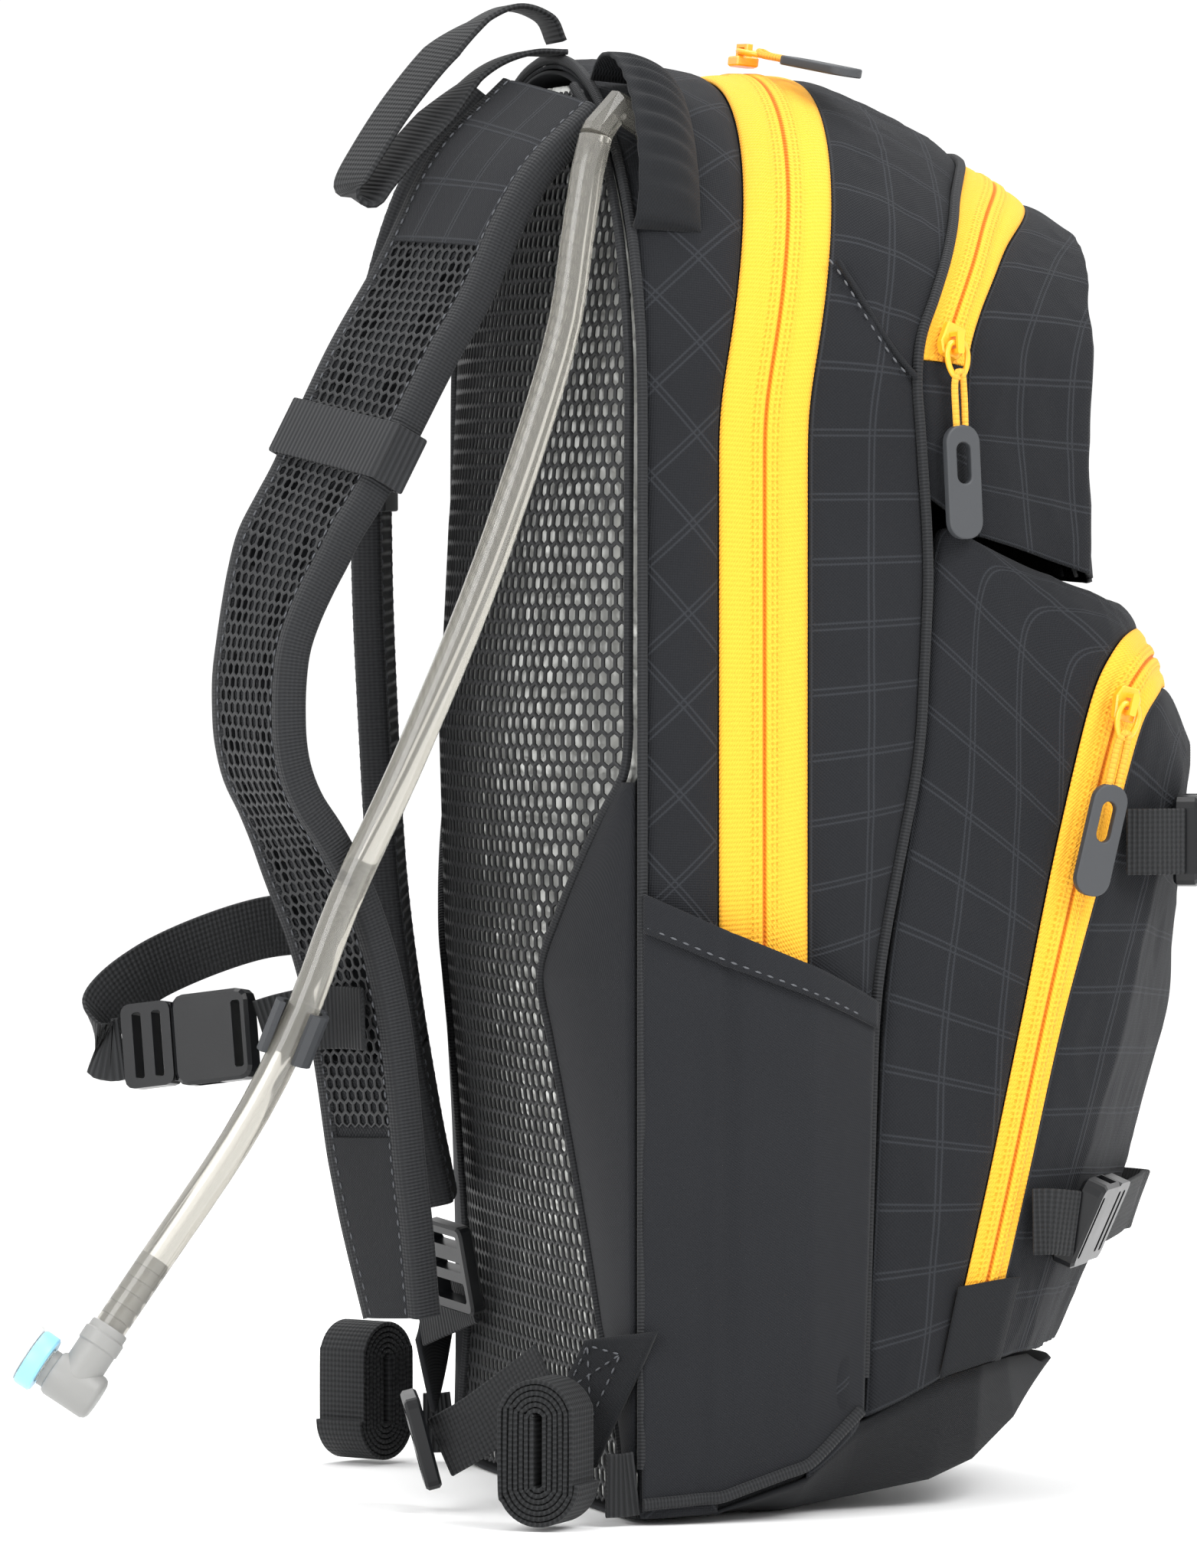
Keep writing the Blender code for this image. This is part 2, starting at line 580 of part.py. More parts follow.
def build_straps(looks):
    fabric, webbing, hard = looks["fabric"], looks["webbing"], looks["hard"]
    widths_left = [66, 66, 64, 62, 60, 58, 54, 52, 50, 48, 46, 45, 44, 42, 38, 30]
    slant = (0.93, 0.36, 0.0)
    turn_left = [(0.97, 0.25, 0.1)] * 3 + [slant] * 4 + [(0.97, 0.2, 0)] * 3 + [slant] * 6
    ribbon("shoulder_strap_left", STRAP_LEFT, widths_left, STRAP_THICK, turn_left, fabric, 34)
    strap_keeper("keeper_left", STRAP_LEFT, slant, 0.318, 60, webbing)
    widths_right = [66, 66, 64, 62, 58, 54, 50, 47, 42, 32]
    turn_right = (0.95, -0.30, 0)
    ribbon("shoulder_strap_right", STRAP_RIGHT, widths_right, STRAP_THICK, [turn_right] * 10, fabric, 26)
    strap_keeper("keeper_right", STRAP_RIGHT, turn_right, 0.36, 62, webbing)

    ladder_lock("ladder_lock_left", (-52, 146.5, 37), (0, -0.26, -0.97), (0.97, -0.2, 0), hard)
    ladder_lock("ladder_lock_right", (52, 108, 84), (0.12, -0.2, -0.97), (0.97, 0.2, 0), hard)
    left_run = [(-55, 137, 20), (-68, 128, 28), (-81, 117.5, 39), (-90.5, 111.5, 46.5)]
    left_tilt = [(0.35, 0.35, 0.87), (0.3, 0.3, 0.9), (0.1, 0.1, 0.99), (0, 0, 1)]
    ribbon("lower_webbing_left", left_run, WEBBING, WEB_THICK, left_tilt, webbing, 10)
    ribbon("lower_webbing_right", [(57, 99.2, 60), (70, 100.5, 57), (83, 104, 53), (93, 106.5, 50)],
           WEBBING, WEB_THICK, [(-0.2, 0.2, 0.95), (-0.1, 0.1, 0.99), (0, 0, 1), (0, 0, 1)], webbing, 8)
    for side, word in ((-1, "left"), (1, "right")):
        base_high, base_low, tip = at(side * 113.5, 92, 64), at(side * 113.5, 92, 14), at(side * 98, 105, 50)
        x = (tip - (base_high + base_low) / 2).normalized()
        frame = frame_from((base_high + base_low) / 2, x, Vector((side * 0.8, 1, 0)))
        reach = (tip - (base_high + base_low) / 2).length * 1000
        outline = [(0, -25), (reach - 1.0, -8.5), (reach - 1.0, 8.5), (0, 25)]
        plate("wing_tab_" + word, outline, -1.0, 1.0, frame, looks["plain"])
        waist = [(side * 116.2, 89.5, 13), (side * 116.8, 94, 12.5), (side * 118, 99.5, 12.5)]
        ribbon("waist_webbing_" + word, waist, WEBBING, WEB_THICK, (0, 0, 1), webbing, 4)
        turn = Vector((side * 0.82, 0.57, 0))
        roll = frame_from(at(side * 119, 119, 24.5), (0, 0, 1), turn)
        plate("waist_roll_" + word, rounded(47, 27, 13.2, 5), -WEBBING / 2, WEBBING / 2, roll, webbing, 0.5)

    haul_pivot = pivot("haul_loop_swing", at(0, 86, 464), (1, 0, 0))
    route = [(-10, 86, 463.9), (-10, 98, 463.5), (-11, 112, 457.5), (-14, 130, 441), (-17, 146, 424),
             (-18.5, 153, 416.5), (-18.5, 157.5, 420), (-17, 151, 432), (-14, 138, 450), (-11, 122, 467),
             (-9, 104, 478), (-8, 91, 475.5), (-8, 86.5, 467.5)]
    level, leaning = (1, 0, 0), (1, 0.15, 0.25)
    across = [level] * 3 + [leaning] * 7 + [level] * 3
    ribbon("haul_loop", route, 22, WEB_THICK, across, webbing, 36, haul_pivot)


# ---------------------------------------------------------------- side-release buckles
SLOT = 10.6                # half length of a webbing slot in 20 mm hardware


def release_female(name, frame, look):
    """The socket half: a flat box open at its front end, with windows in both sides and a webbing bar."""
    body = plate(name, rounded(27, 29, 4, 3, (13.5, 0)), -4.0, 4.0, frame, look, 1.1)
    mouth = plate(name + "_mouth", rounded(24, 22.8, 0.5, 1, (19.7, 0)), -2.7, 2.7, frame, look)
    sides = plate(name + "_sides", rounded(9.5, 40, 1.0, 2, (16.5, 0)), -2.69, 2.69, frame, look)
    slot = plate(name + "_slot", rounded(3.2, 2 * SLOT, 0.6, 1, (4.0, 0)), -6, 6, frame, look)
    for cutter in (mouth, sides, slot):
        cut(body, cutter)
    return body


def release_male(name, frame, look, parent):
    """The plug half: two arms and a middle guide that run into the socket, and a ladder for the webbing."""
    half = [(44.5, 12.4), (27.6, 12.4), (27.6, 10.7), (18, 10.9), (12.5, 10.6), (9.4, 8.6), (9.4, 6.6),
            (13, 6.8), (26, 7.6), (26, 2.2), (11.5, 1.9)]
    arms = half + [(x, -y) for x, y in reversed(half)]
    body = plate(name, arms, -2.2, 2.2, frame, look, 0.0, parent)
    base = plate(name + "_base", rounded(17.4, 27, 3, 3, (36.4, 0)), -3.2, 3.2, frame, look)
    cut(body, base, "UNION")
    for k, middle in enumerate((32.6, 39.6)):
        slot = plate(f"{name}_slot_{k}", rounded(3.2, 2 * SLOT, 0.6, 1, (middle, 0)), -6, 6, frame, look)
        cut(body, slot)
    return body


def build_front_straps(looks):
    """Two compression straps over the front pocket, each closed by a buckle on a tab at the left."""
    webbing, hard = looks["webbing"], looks["hard"]
    sets = {
        "upper": dict(start=(-104.5, -94.5, 212), along=(0.9, -0.435, 0), face=(-0.43, -0.9, 0),
                      tall=(0, 0, 1),
                      tab=[(-107.8, -74, 212), (-108, -83, 212), (-105.3, -93.8, 212)],
                      run=[(-63, -114.5, 212), (-47, -119, 212), (-18, -128, 212), (0, -130.5, 212),
                           (45, -114, 212), (86, -98.5, 212), (101, -88, 212), (108.6, -74, 212)]),
        "lower": dict(start=(-104.5, -58.8, 90.8), along=(0.87, -0.49, 0.0), face=(-0.44, -0.8, -0.4),
                      tall=(0.1, -0.38, 0.92),
                      tab=[(-107.8, -43, 92), (-108.3, -49, 92), (-105.3, -58, 91)],
                      run=[(-64.4, -81.4, 91), (-48, -91, 91.5), (-18, -105, 92), (0, -109.5, 92),
                           (45, -88, 92), (86, -67.5, 92), (101, -57, 92), (108.6, -43, 92)]),
    }
    for word, part in sets.items():
        tall = part["tall"]
        across_tab = [(0, -0.2, 1), (0, -0.2, 1), tall] if word == "lower" else (0, 0, 1)
        ribbon(f"{word}_strap_tab", part["tab"], WEBBING, WEB_THICK, across_tab, webbing, 4)
        frame = frame_from(at(*part["start"]), part["along"], part["face"])
        release_female(f"{word}_buckle_female", frame, hard)
        holder = pivot(f"{word}_buckle_slide", at(*part["start"]), part["along"])
        release_male(f"{word}_buckle_male", frame, hard, holder)
        ribbon(f"{word}_strap", part["run"], WEBBING, WEB_THICK, tall, webbing, 14, holder)


def build_sternum(looks):
    webbing, hard = looks["webbing"], looks["hard"]
    near_run = [(-68.3, 165.5, 157), (-56, 170.5, 157), (-50.5, 177, 156.5), (-47, 186, 154.5),
                (-45.2, 192.8, 152.4)]
    ribbon("sternum_webbing_left", near_run, WEBBING, WEB_THICK, (0, 0.05, 1), webbing, 10)
    start, along = (-44, 195, 152), (0.62, 0.77, -0.13)
    frame = frame_from(at(*start), along, (-0.77, 0.62, 0.1))
    release_female("sternum_buckle_female", frame, hard)
    holder = pivot("sternum_buckle_slide", at(*start), along)
    release_male("sternum_buckle_male", frame, hard, holder)
    fold = [(-14.9, 231.2, 145.9), (-12.4, 234.3, 145.4), (-8.5, 237.5, 147.5), (-1.5, 233.5, 158),
            (7, 214, 171), (22, 178, 182), (38, 146, 183), (46, 135.5, 180)]
    upright = (0, 0, 1)
    across = [(0.16, 0.04, 0.98), (0.16, 0.04, 0.98)] + [upright] * 6
    ribbon("sternum_webbing_right", fold, WEBBING, WEB_THICK, across, webbing, 26, holder)


# ---------------------------------------------------------------- hose, clip, elbow and bite valve
def build_hose(looks):
    tube = looks["tube"]
    _, hidden = hose("inner_tube", HOSE_ROUTE, 0.0, PORT_SHARE - 0.0012, TUBE_OD, tube, 1.3)
    _, path = hose("drink_tube", HOSE_ROUTE, PORT_SHARE, 1.0, TUBE_OD, tube)
    connector = turned("hose_connector", [(0, 0), (8, 0), (8, 12.5), (6, 15), (0, 15)],
                       frame_from(at(-30, 44, 36), (1, 0, 0), (0, 0, 1)), looks["grey"], 14)
    flange = turned("connector_flange", [(0, 0), (5, 0), (5, 8), (9, 8), (9, 9.5), (0, 9.5)],
                    frame_from(at(-30, 44, 44), (1, 0, 0), (0, 1, 0)), looks["grey"], 14)
    cut(connector, flange, "UNION")
    gusset = bpy.data.objects["rear_gusset"]
    crossing = min(range(len(hidden)), key=lambda n: (hidden[n] - at(-78.5, 71.5, 432.5)).length)
    through = (hidden[crossing + 1] - hidden[crossing - 1]).normalized()
    hole = turned("hose_hole", [(0, -12), (6.6, -12), (6.6, 12), (0, 12)],
                  frame_from(hidden[crossing], through.orthogonal(), through), looks["grey"], 14)
    cut(gusset, hole)

    end, before = path[-1], path[-3]
    down = (end - before).normalized()
    swivel = pivot("elbow_swivel", end, down)
    stem_frame = frame_from(end + down * 0.0004, Vector((1, 0, 0)), down)
    barrel = [(0, 0), (6.2, 0), (6.8, 3), (6.8, 18), (0, 18)]
    elbow = turned("elbow", barrel, stem_frame, looks["grey"], 20, swivel)
    out = Vector((0.30, 0.74, 0.60))
    out = (out - down * out.dot(down)).normalized()
    corner = end + down * 0.0004 + down * 0.021
    cross = turned("elbow_cross", [(0, -9), (6.4, -9), (7.4, -8), (7.4, 8), (5.8, 9.5), (0, 9.5)],
                   frame_from(corner, down, out), looks["grey"], 20)
    cut(elbow, cross, "UNION")
    twist = pivot("valve_twist", corner + out * 0.0099, out)
    twist.parent = swivel
    twist.matrix_parent_inverse = swivel.matrix_world.inverted()
    valve_frame = frame_from(corner + out * 0.0099, down, out)
    band = [(6.0, 0.4), (9.2, 0.4), (9.6, 2), (9.6, 6), (6.0, 6)]
    turned("valve_ring", band, valve_frame, looks["ring"], RING, twist)
    bulb = [(0, 0.2), (5.5, 0.2), (5.5, 6.5), (9.4, 6.5), (10.2, 9), (10.2, 20), (8.6, 24.5), (0, 26)]
    turned("bite_valve", bulb, valve_frame, looks["silicone"], RING, twist)

    k = min(range(len(path)), key=lambda n: abs(path[n].z - 0.158))
    run = (path[k + 1] - path[k - 1]).normalized()
    clip_frame = frame_from(path[k], (0.86, -0.5, 0.0), run)
    arc = [math.radians(40 + 280 * n / 14) for n in range(15)]
    outline = [(9.0 * math.cos(t), 9.0 * math.sin(t)) for t in arc]
    outline += [(6.7 * math.cos(t), 6.7 * math.sin(t)) for t in reversed(arc)]
    outline = [(-x, -y) for x, y in outline]
    clip = plate("tube_clip", outline, -8.5, 8.5, clip_frame, looks["rubber"])
    lug = plate("tube_clip_lug", rounded(4.5, 10, 1, 1, (10.2, 0)), -8.5, 8.5, clip_frame, looks["rubber"])
    cut(clip, lug, "UNION")


def build_port(looks):
    """A gathered hood over the hose's hole, sewn to the rear gusset and open towards the back."""
    us = list(np.linspace(-0.270, -0.186, 9))
    vs = [0.03, 0.12, 0.24, 0.36, 0.46, 0.56]
    middle = (us[0] + us[-1]) / 2

    def rise(u, v):
        hump = max(0.0, 1 - ((u - middle) / (us[-1] - middle)) ** 2) ** 0.45
        back = max(0.0, 1 - (v / 0.575) ** 2.2) ** 0.6
        return 3 * GAP + CLOTH + 16.0 * hump * back

    panel("tube_port", body_point, 6, us, vs, always, looks["plain"], CLOTH, rise)


# ---------------------------------------------------------------- zips
def zip_slider(prefix, place, travel, lay, normal, looks, parent):
    """A slider standing on its tape, with a bridge, and its pull: a ring, a cord and a rubber tab."""
    block = frame_from(place, travel, normal)
    swing = frame_from(place, lay, normal)
    wings = [(-5.5, -3.0), (-2, -4.6), (5.5, -3.6), (5.5, 3.6), (-2, 4.6), (-5.5, 3.0)]
    slider = plate(prefix + "_slider", wings, 2.0, 5.2, block, looks["zip_hard"], 0.5, parent)
    bridge = plate(prefix + "_bridge", rounded(7.2, 2.4, 0.4, 1), 5.0, 9.4, swing, looks["zip_hard"])
    opening = [(-1.9, -4), (1.9, -4), (1.9, 4), (-1.9, 4)]
    eye = plate(prefix + "_eye", opening, 5.2, 8.3, swing, looks["zip_hard"])
    cut(slider, bridge, "UNION")
    cut(slider, eye)
    axis = (swing.to_3x3() @ Vector((0, 1, 0))).normalized()
    hinge_at = place + (swing.to_3x3() @ Vector((0, 0, 1))).normalized() * 0.0070
    hinge = pivot(prefix + "_pull_swing", hinge_at, axis)
    if parent:
        hinge.parent = parent
        hinge.matrix_parent_inverse = parent.matrix_world.inverted()
    flat = swing.copy()
    flat.translation = hinge_at
    ring = [(-0.7, -3.2), (2, -4.4), (6, -4.6), (10, -3.0), (12.5, -1.3), (21, -1.3), (21, 1.3), (12.5, 1.3),
            (10, 3.0), (6, 4.6), (2, 4.4), (-0.7, 3.2)]
    pull = plate(prefix + "_pull", ring, -0.7, 0.7, flat, looks["zip_hard"], 0.0, hinge)
    inner = [(0.7, -2.2), (2.4, -2.9), (6, -3.1), (9, -1.6), (9, 1.6), (6, 3.1), (2.4, 2.9), (0.7, 2.2)]
    hole = plate(prefix + "_ring_hole", inner, -3, 3, flat, looks["zip_hard"])
    tab = plate(prefix + "_tab", rounded(36, 12.5, 5.5, 4, (37.5, 0)), -1.5, 1.5, flat, looks["rubber"])
    window = plate(prefix + "_window", rounded(13, 5.2, 2.5, 4, (31.5, 0)), -4, 4, flat, looks["rubber"])
    cut(pull, hole)
    cut(pull, tab, "UNION")
    cut(pull, window)
    return slider


def build_zips(looks):
    lean = Vector((0, -ZIP_LEAN, 1)).normalized()
    corner = at(-CORNER_X, 47.5, CORNER_Z)
    round_corner = pivot("main_zip_travel", corner, Vector((0, 1, ZIP_LEAN)))
    main_place = corner + lean * (MAIN_ZIP_R + 0.9) * 0.001
    zip_slider("main_zip", main_place, (-1, 0, 0), (-0.96, -0.25, -0.02), (0, -0.1, 1), looks, round_corner)

    u, v = -0.28, 3.5
    p = body_point(u, v)
    up_zip = Vector(body_point(u + 0.02, v) - body_point(u - 0.02, v)).normalized()
    top_place = at(*p)
    travel = pivot("top_zip_travel", top_place, up_zip)
    zip_slider("top_zip", top_place, up_zip, (-0.05, -0.03, -1), (-0.96, -0.28, 0.05), looks, travel)

    rows = np.array(POCKET_SEAMS[1:3], float).mean(axis=0)
    high, low = rows[4], rows[1]
    leg = Vector((-(low[0] - high[0]), low[1] - high[1], low[2] - high[2])).normalized()
    leg_place = at(-108.0, high[1], high[2])
    travel = pivot("front_zip_travel", leg_place, leg)
    zip_slider("front_zip", leg_place, leg, leg, (-1, -0.24, 0), looks, travel)


def build_trim(looks):
    ribbon("label_patch", [(-24, -82.4, 361), (0, -86.4, 361), (24, -82.4, 361)], 37, 1.2, (0, 0.13, 1),
           looks["rubber"], 6)


def main():
    clear_scene()
    looks = {
        "fabric": material("black_ripstop", (0.016, 0.017, 0.020), 0.85),
        "plain": material("black_plain_weave", (0.014, 0.015, 0.017), 0.85),
        "zip": material("yellow_zip", (0.92, 0.47, 0.045), 0.75),
        "mesh": material("black_spacer_mesh", (0.012, 0.012, 0.013), 0.8),
        "film": material("silver_film", (0.62, 0.63, 0.62), 0.35),
        "film_blue": material("clear_bladder", (0.62, 0.72, 0.80), 0.2),
        "blue": material("blue_cap", (0.10, 0.28, 0.55), 0.4),
        "grey": material("grey_plastic", (0.42, 0.42, 0.41), 0.5),
        "hard": material("black_acetal", (0.012, 0.012, 0.013), 0.35),
        "webbing": material("black_webbing", (0.013, 0.013, 0.014), 0.8),
        "rubber": material("charcoal_rubber", (0.035, 0.037, 0.042), 0.6),
        "tube": material("clear_tube", (0.74, 0.74, 0.70), 0.2),
        "silicone": material("clear_silicone", (0.85, 0.85, 0.84), 0.3),
        "ring": material("pale_blue_ring", (0.40, 0.67, 0.82), 0.4),
        "zip_hard": material("yellow_zinc", (0.92, 0.50, 0.05), 0.45),
    }
    build_shell(looks)
    build_back(looks)
    build_reservoir(looks)
    build_straps(looks)
    build_front_straps(looks)
    build_sternum(looks)
    build_hose(looks)
    build_port(looks)
    build_zips(looks)
    build_trim(looks)


main()
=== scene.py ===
import json
import math
import bmesh
import bpy
import numpy as np
from mathutils import Matrix, Vector, noise


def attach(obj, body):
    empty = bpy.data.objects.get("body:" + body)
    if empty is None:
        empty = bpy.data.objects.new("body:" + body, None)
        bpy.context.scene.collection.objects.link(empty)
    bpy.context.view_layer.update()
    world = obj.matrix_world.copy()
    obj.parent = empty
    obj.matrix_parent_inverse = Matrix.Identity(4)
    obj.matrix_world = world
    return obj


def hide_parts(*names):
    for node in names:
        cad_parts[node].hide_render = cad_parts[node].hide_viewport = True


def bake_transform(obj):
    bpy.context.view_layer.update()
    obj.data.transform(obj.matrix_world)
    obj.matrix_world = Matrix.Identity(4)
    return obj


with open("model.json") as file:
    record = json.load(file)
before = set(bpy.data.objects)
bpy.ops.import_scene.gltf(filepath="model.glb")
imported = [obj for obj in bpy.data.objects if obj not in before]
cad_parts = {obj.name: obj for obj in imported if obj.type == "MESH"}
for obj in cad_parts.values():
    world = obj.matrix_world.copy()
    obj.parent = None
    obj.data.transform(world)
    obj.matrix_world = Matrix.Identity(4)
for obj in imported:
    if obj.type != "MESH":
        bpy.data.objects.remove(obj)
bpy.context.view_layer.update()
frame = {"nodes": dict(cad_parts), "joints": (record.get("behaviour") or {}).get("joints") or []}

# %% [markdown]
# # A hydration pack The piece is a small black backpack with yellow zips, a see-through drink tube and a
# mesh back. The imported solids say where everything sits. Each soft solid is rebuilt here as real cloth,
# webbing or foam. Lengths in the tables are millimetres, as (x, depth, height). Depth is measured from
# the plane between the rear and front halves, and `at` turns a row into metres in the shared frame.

MM = 0.001
BASE_DEPTH = 52.0
BODY_CENTRE = np.array([0.0, 20.0, 200.0])
scene = bpy.context.scene


def at(x, depth, z):
    return Vector((x, depth - BASE_DEPTH, z)) * MM


def smooth_through(points, count):
    """A smooth curve through the points, sampled evenly along its length."""
    p = np.array([tuple(q) for q in points], float)
    p = np.vstack([2 * p[0] - p[1], p, 2 * p[-1] - p[-2]])
    dense = []
    for a, b, c, d in zip(p[:-3], p[1:-2], p[2:-1], p[3:]):
        slope, bend, twist = c - a, 2 * a - 5 * b + 4 * c - d, 3 * b - a - 3 * c + d
        for t in np.linspace(0, 1, 24, endpoint=False):
            dense.append(b + 0.5 * (slope * t + bend * t**2 + twist * t**3))
    dense.append(p[-2])
    dense = np.array(dense)
    run = np.concatenate([[0], np.cumsum(np.linalg.norm(np.diff(dense, axis=0), axis=1))])
    even = np.linspace(0, run[-1], count)
    return [Vector([np.interp(s, run, dense[:, k]) for k in range(3)]) for s in even]


# %% [markdown]
# ## Camera
# The pack is seen from the wearer's left, turned a little towards its back, from just above mid height.
# A long lens keeps the sides nearly parallel, as product pictures do.

# %% Camera
AZIMUTH, ELEVATION = math.radians(255.0), math.radians(1.5)
aim = Vector((0.0046, 0.0172, 0.2285))
towards_camera = Vector((math.sin(AZIMUTH) * math.cos(ELEVATION), -math.cos(AZIMUTH) * math.cos(ELEVATION),
                         math.sin(ELEVATION)))
camera_data = bpy.data.cameras.new("studio_camera")
camera_data.sensor_fit = "HORIZONTAL"
camera_data.lens = 316.0
camera = bpy.data.objects.new("studio_camera", camera_data)
CAMERA_DISTANCE = 3.4
camera.location = aim + towards_camera * CAMERA_DISTANCE
camera.rotation_euler = (-towards_camera).to_track_quat("-Z", "Y").to_euler()
scene.collection.objects.link(camera)
scene.camera = camera

# %% [markdown]
# ## Materials
# Every finish starts from what the real one is and how its surface was made. Cloth is coloured by its
# threads, and their raised tops are painted lighter as a painted highlight: a plain weave is two sets of
# threads crossing, so its height is one wave times another. Colours are hex values, which are stored for a
# screen, so `linear` turns them into amounts of light.

# %% Helpers for materials
def linear(hex_colour):
    parts = [int(hex_colour[k:k + 2], 16) / 255 for k in (1, 3, 5)]
    return (*[p / 12.92 if p <= 0.04045 else ((p + 0.055) / 1.055) ** 2.4 for p in parts], 1.0)


def add(tree, kind, settings=None, links=None):
    """Adds a node. A setting is a socket's constant or, where no socket has that name, an option."""
    made = tree.nodes.new(kind)
    for key, value in (settings or {}).items():
        if isinstance(key, str) and hasattr(made, key):
            setattr(made, key, value)
        else:
            made.inputs[key].default_value = value
    for key, source in (links or {}).items():
        tree.links.new(source, made.inputs[key])
    return made


def new_material(name, colour, roughness, **more):
    made = bpy.data.materials.new(name)
    made.use_nodes = True
    tree = made.node_tree
    shader = tree.nodes["Principled BSDF"]
    shader.inputs["Base Color"].default_value = linear(colour)
    shader.inputs["Roughness"].default_value = roughness
    for key, value in more.items():
        shader.inputs[key.replace("_", " ")].default_value = value
    made.diffuse_color = linear(colour)
    return made, tree, shader


# %% [markdown]
# ### Woven cloth
# Ripstop is nylon in a plain weave with a doubled, thicker thread every 20 mm, which shows as a grid of
# fine raised lines. Its threads are about 0.4 mm apart, too fine to show, so they are drawn 1.1 mm apart.
# The raised threads and the grid lines are painted lighter, as painted highlights.

# %% Woven cloth
def woven(name, colour, thread_mm, grid_mm=0.0, angle=0.0, depth_mm=0.16, sheen=0.03, light="#303236"):
    made, tree, shader = new_material(name, colour, 0.82, Sheen_Weight=sheen, Sheen_Roughness=0.5,
                                      Specular_IOR_Level=0.16)
    cloth = add(tree, "ShaderNodeUVMap", {"uv_map": "cloth"})
    turned_cloth = add(tree, "ShaderNodeMapping", {"Rotation": (0, 0, math.radians(angle))},
                       {"Vector": cloth.outputs["UV"]})
    apart = add(tree, "ShaderNodeSeparateXYZ", None, {0: turned_cloth.outputs[0]})
    waves = []
    for axis in (0, 1):
        phase = add(tree, "ShaderNodeMath", {"operation": "MULTIPLY", 1: 2 * math.pi / (thread_mm * MM)},
                    {0: apart.outputs[axis]})
        waves.append(add(tree, "ShaderNodeMath", {"operation": "SINE"}, {0: phase.outputs[0]}))
    threads = add(tree, "ShaderNodeMath", {"operation": "MULTIPLY"},
                  {0: waves[0].outputs[0], 1: waves[1].outputs[0]})
    height = threads
    if grid_mm:
        lines = []
        for axis in (0, 1):
            away = add(tree, "ShaderNodeMath", {"operation": "PINGPONG", 1: grid_mm * MM / 2},
                       {0: apart.outputs[axis]})
            off = add(tree, "ShaderNodeMath", {"operation": "SUBTRACT", 1: 0.9 * MM}, {0: away.outputs[0]})
            near = add(tree, "ShaderNodeMath", {"operation": "ABSOLUTE"}, {0: off.outputs[0]})
            line = add(tree, "ShaderNodeMapRange", {"From Min": 0.0, "From Max": 0.55 * MM, "To Min": 1.0,
                                                    "To Max": 0.0}, {"Value": near.outputs[0]})
            lines.append(line)
        grid = add(tree, "ShaderNodeMath", {"operation": "MAXIMUM"},
                   {0: lines[0].outputs[0], 1: lines[1].outputs[0]})
        raised = add(tree, "ShaderNodeMath", {"operation": "MULTIPLY", 1: 2.6}, {0: grid.outputs[0]})
        height = add(tree, "ShaderNodeMath", {"operation": "ADD"},
                     {0: threads.outputs[0], 1: raised.outputs[0]})
    place = add(tree, "ShaderNodeTexCoord")
    patchy = add(tree, "ShaderNodeTexNoise", {"Scale": 14.0, "Detail": 4.0},
                 {"Vector": place.outputs["Object"]})
    # Painted highlight: raised threads are painted towards the lighter colour, and patchy noise varies this
    # at random.
    thread_highlight = add(tree, "ShaderNodeMath", {"operation": "MULTIPLY_ADD", 1: 0.16, 2: 0.22},
                {0: threads.outputs[0]})
    shade = add(tree, "ShaderNodeMath", {"operation": "MULTIPLY"},
                {0: thread_highlight.outputs[0], 1: patchy.outputs[0]})
    # Painted highlight: the grid's doubled threads are painted lighter along the grid lines.
    if grid_mm:
        line_light = add(tree, "ShaderNodeMath", {"operation": "MULTIPLY_ADD", 1: 0.75},
                         {0: grid.outputs[0], 2: shade.outputs[0]})
        shade = line_light
    tone = add(tree, "ShaderNodeMix", {"data_type": "RGBA"}, {"Factor": shade.outputs[0]})
    tone.inputs[6].default_value = linear(colour)
    tone.inputs[7].default_value = linear(light)
    bump = add(tree, "ShaderNodeBump", {"Strength": 0.7, "Distance": depth_mm * MM},
               {"Height": height.outputs[0]})
    tree.links.new(tone.outputs[2], shader.inputs["Base Color"])
    tree.links.new(bump.outputs[0], shader.inputs["Normal"])
    return made


ripstop = woven("ripstop_nylon", "#17181b", 1.1, 20.0)
ripstop_bias = woven("ripstop_nylon_on_the_bias", "#17181b", 1.1, 20.0, 42.0)
canvas = woven("plain_weave_nylon", "#18191b", 1.0)
stretch_cloth = woven("stretch_pocket_cloth", "#191a1d", 0.9, depth_mm=0.12, sheen=0.06)
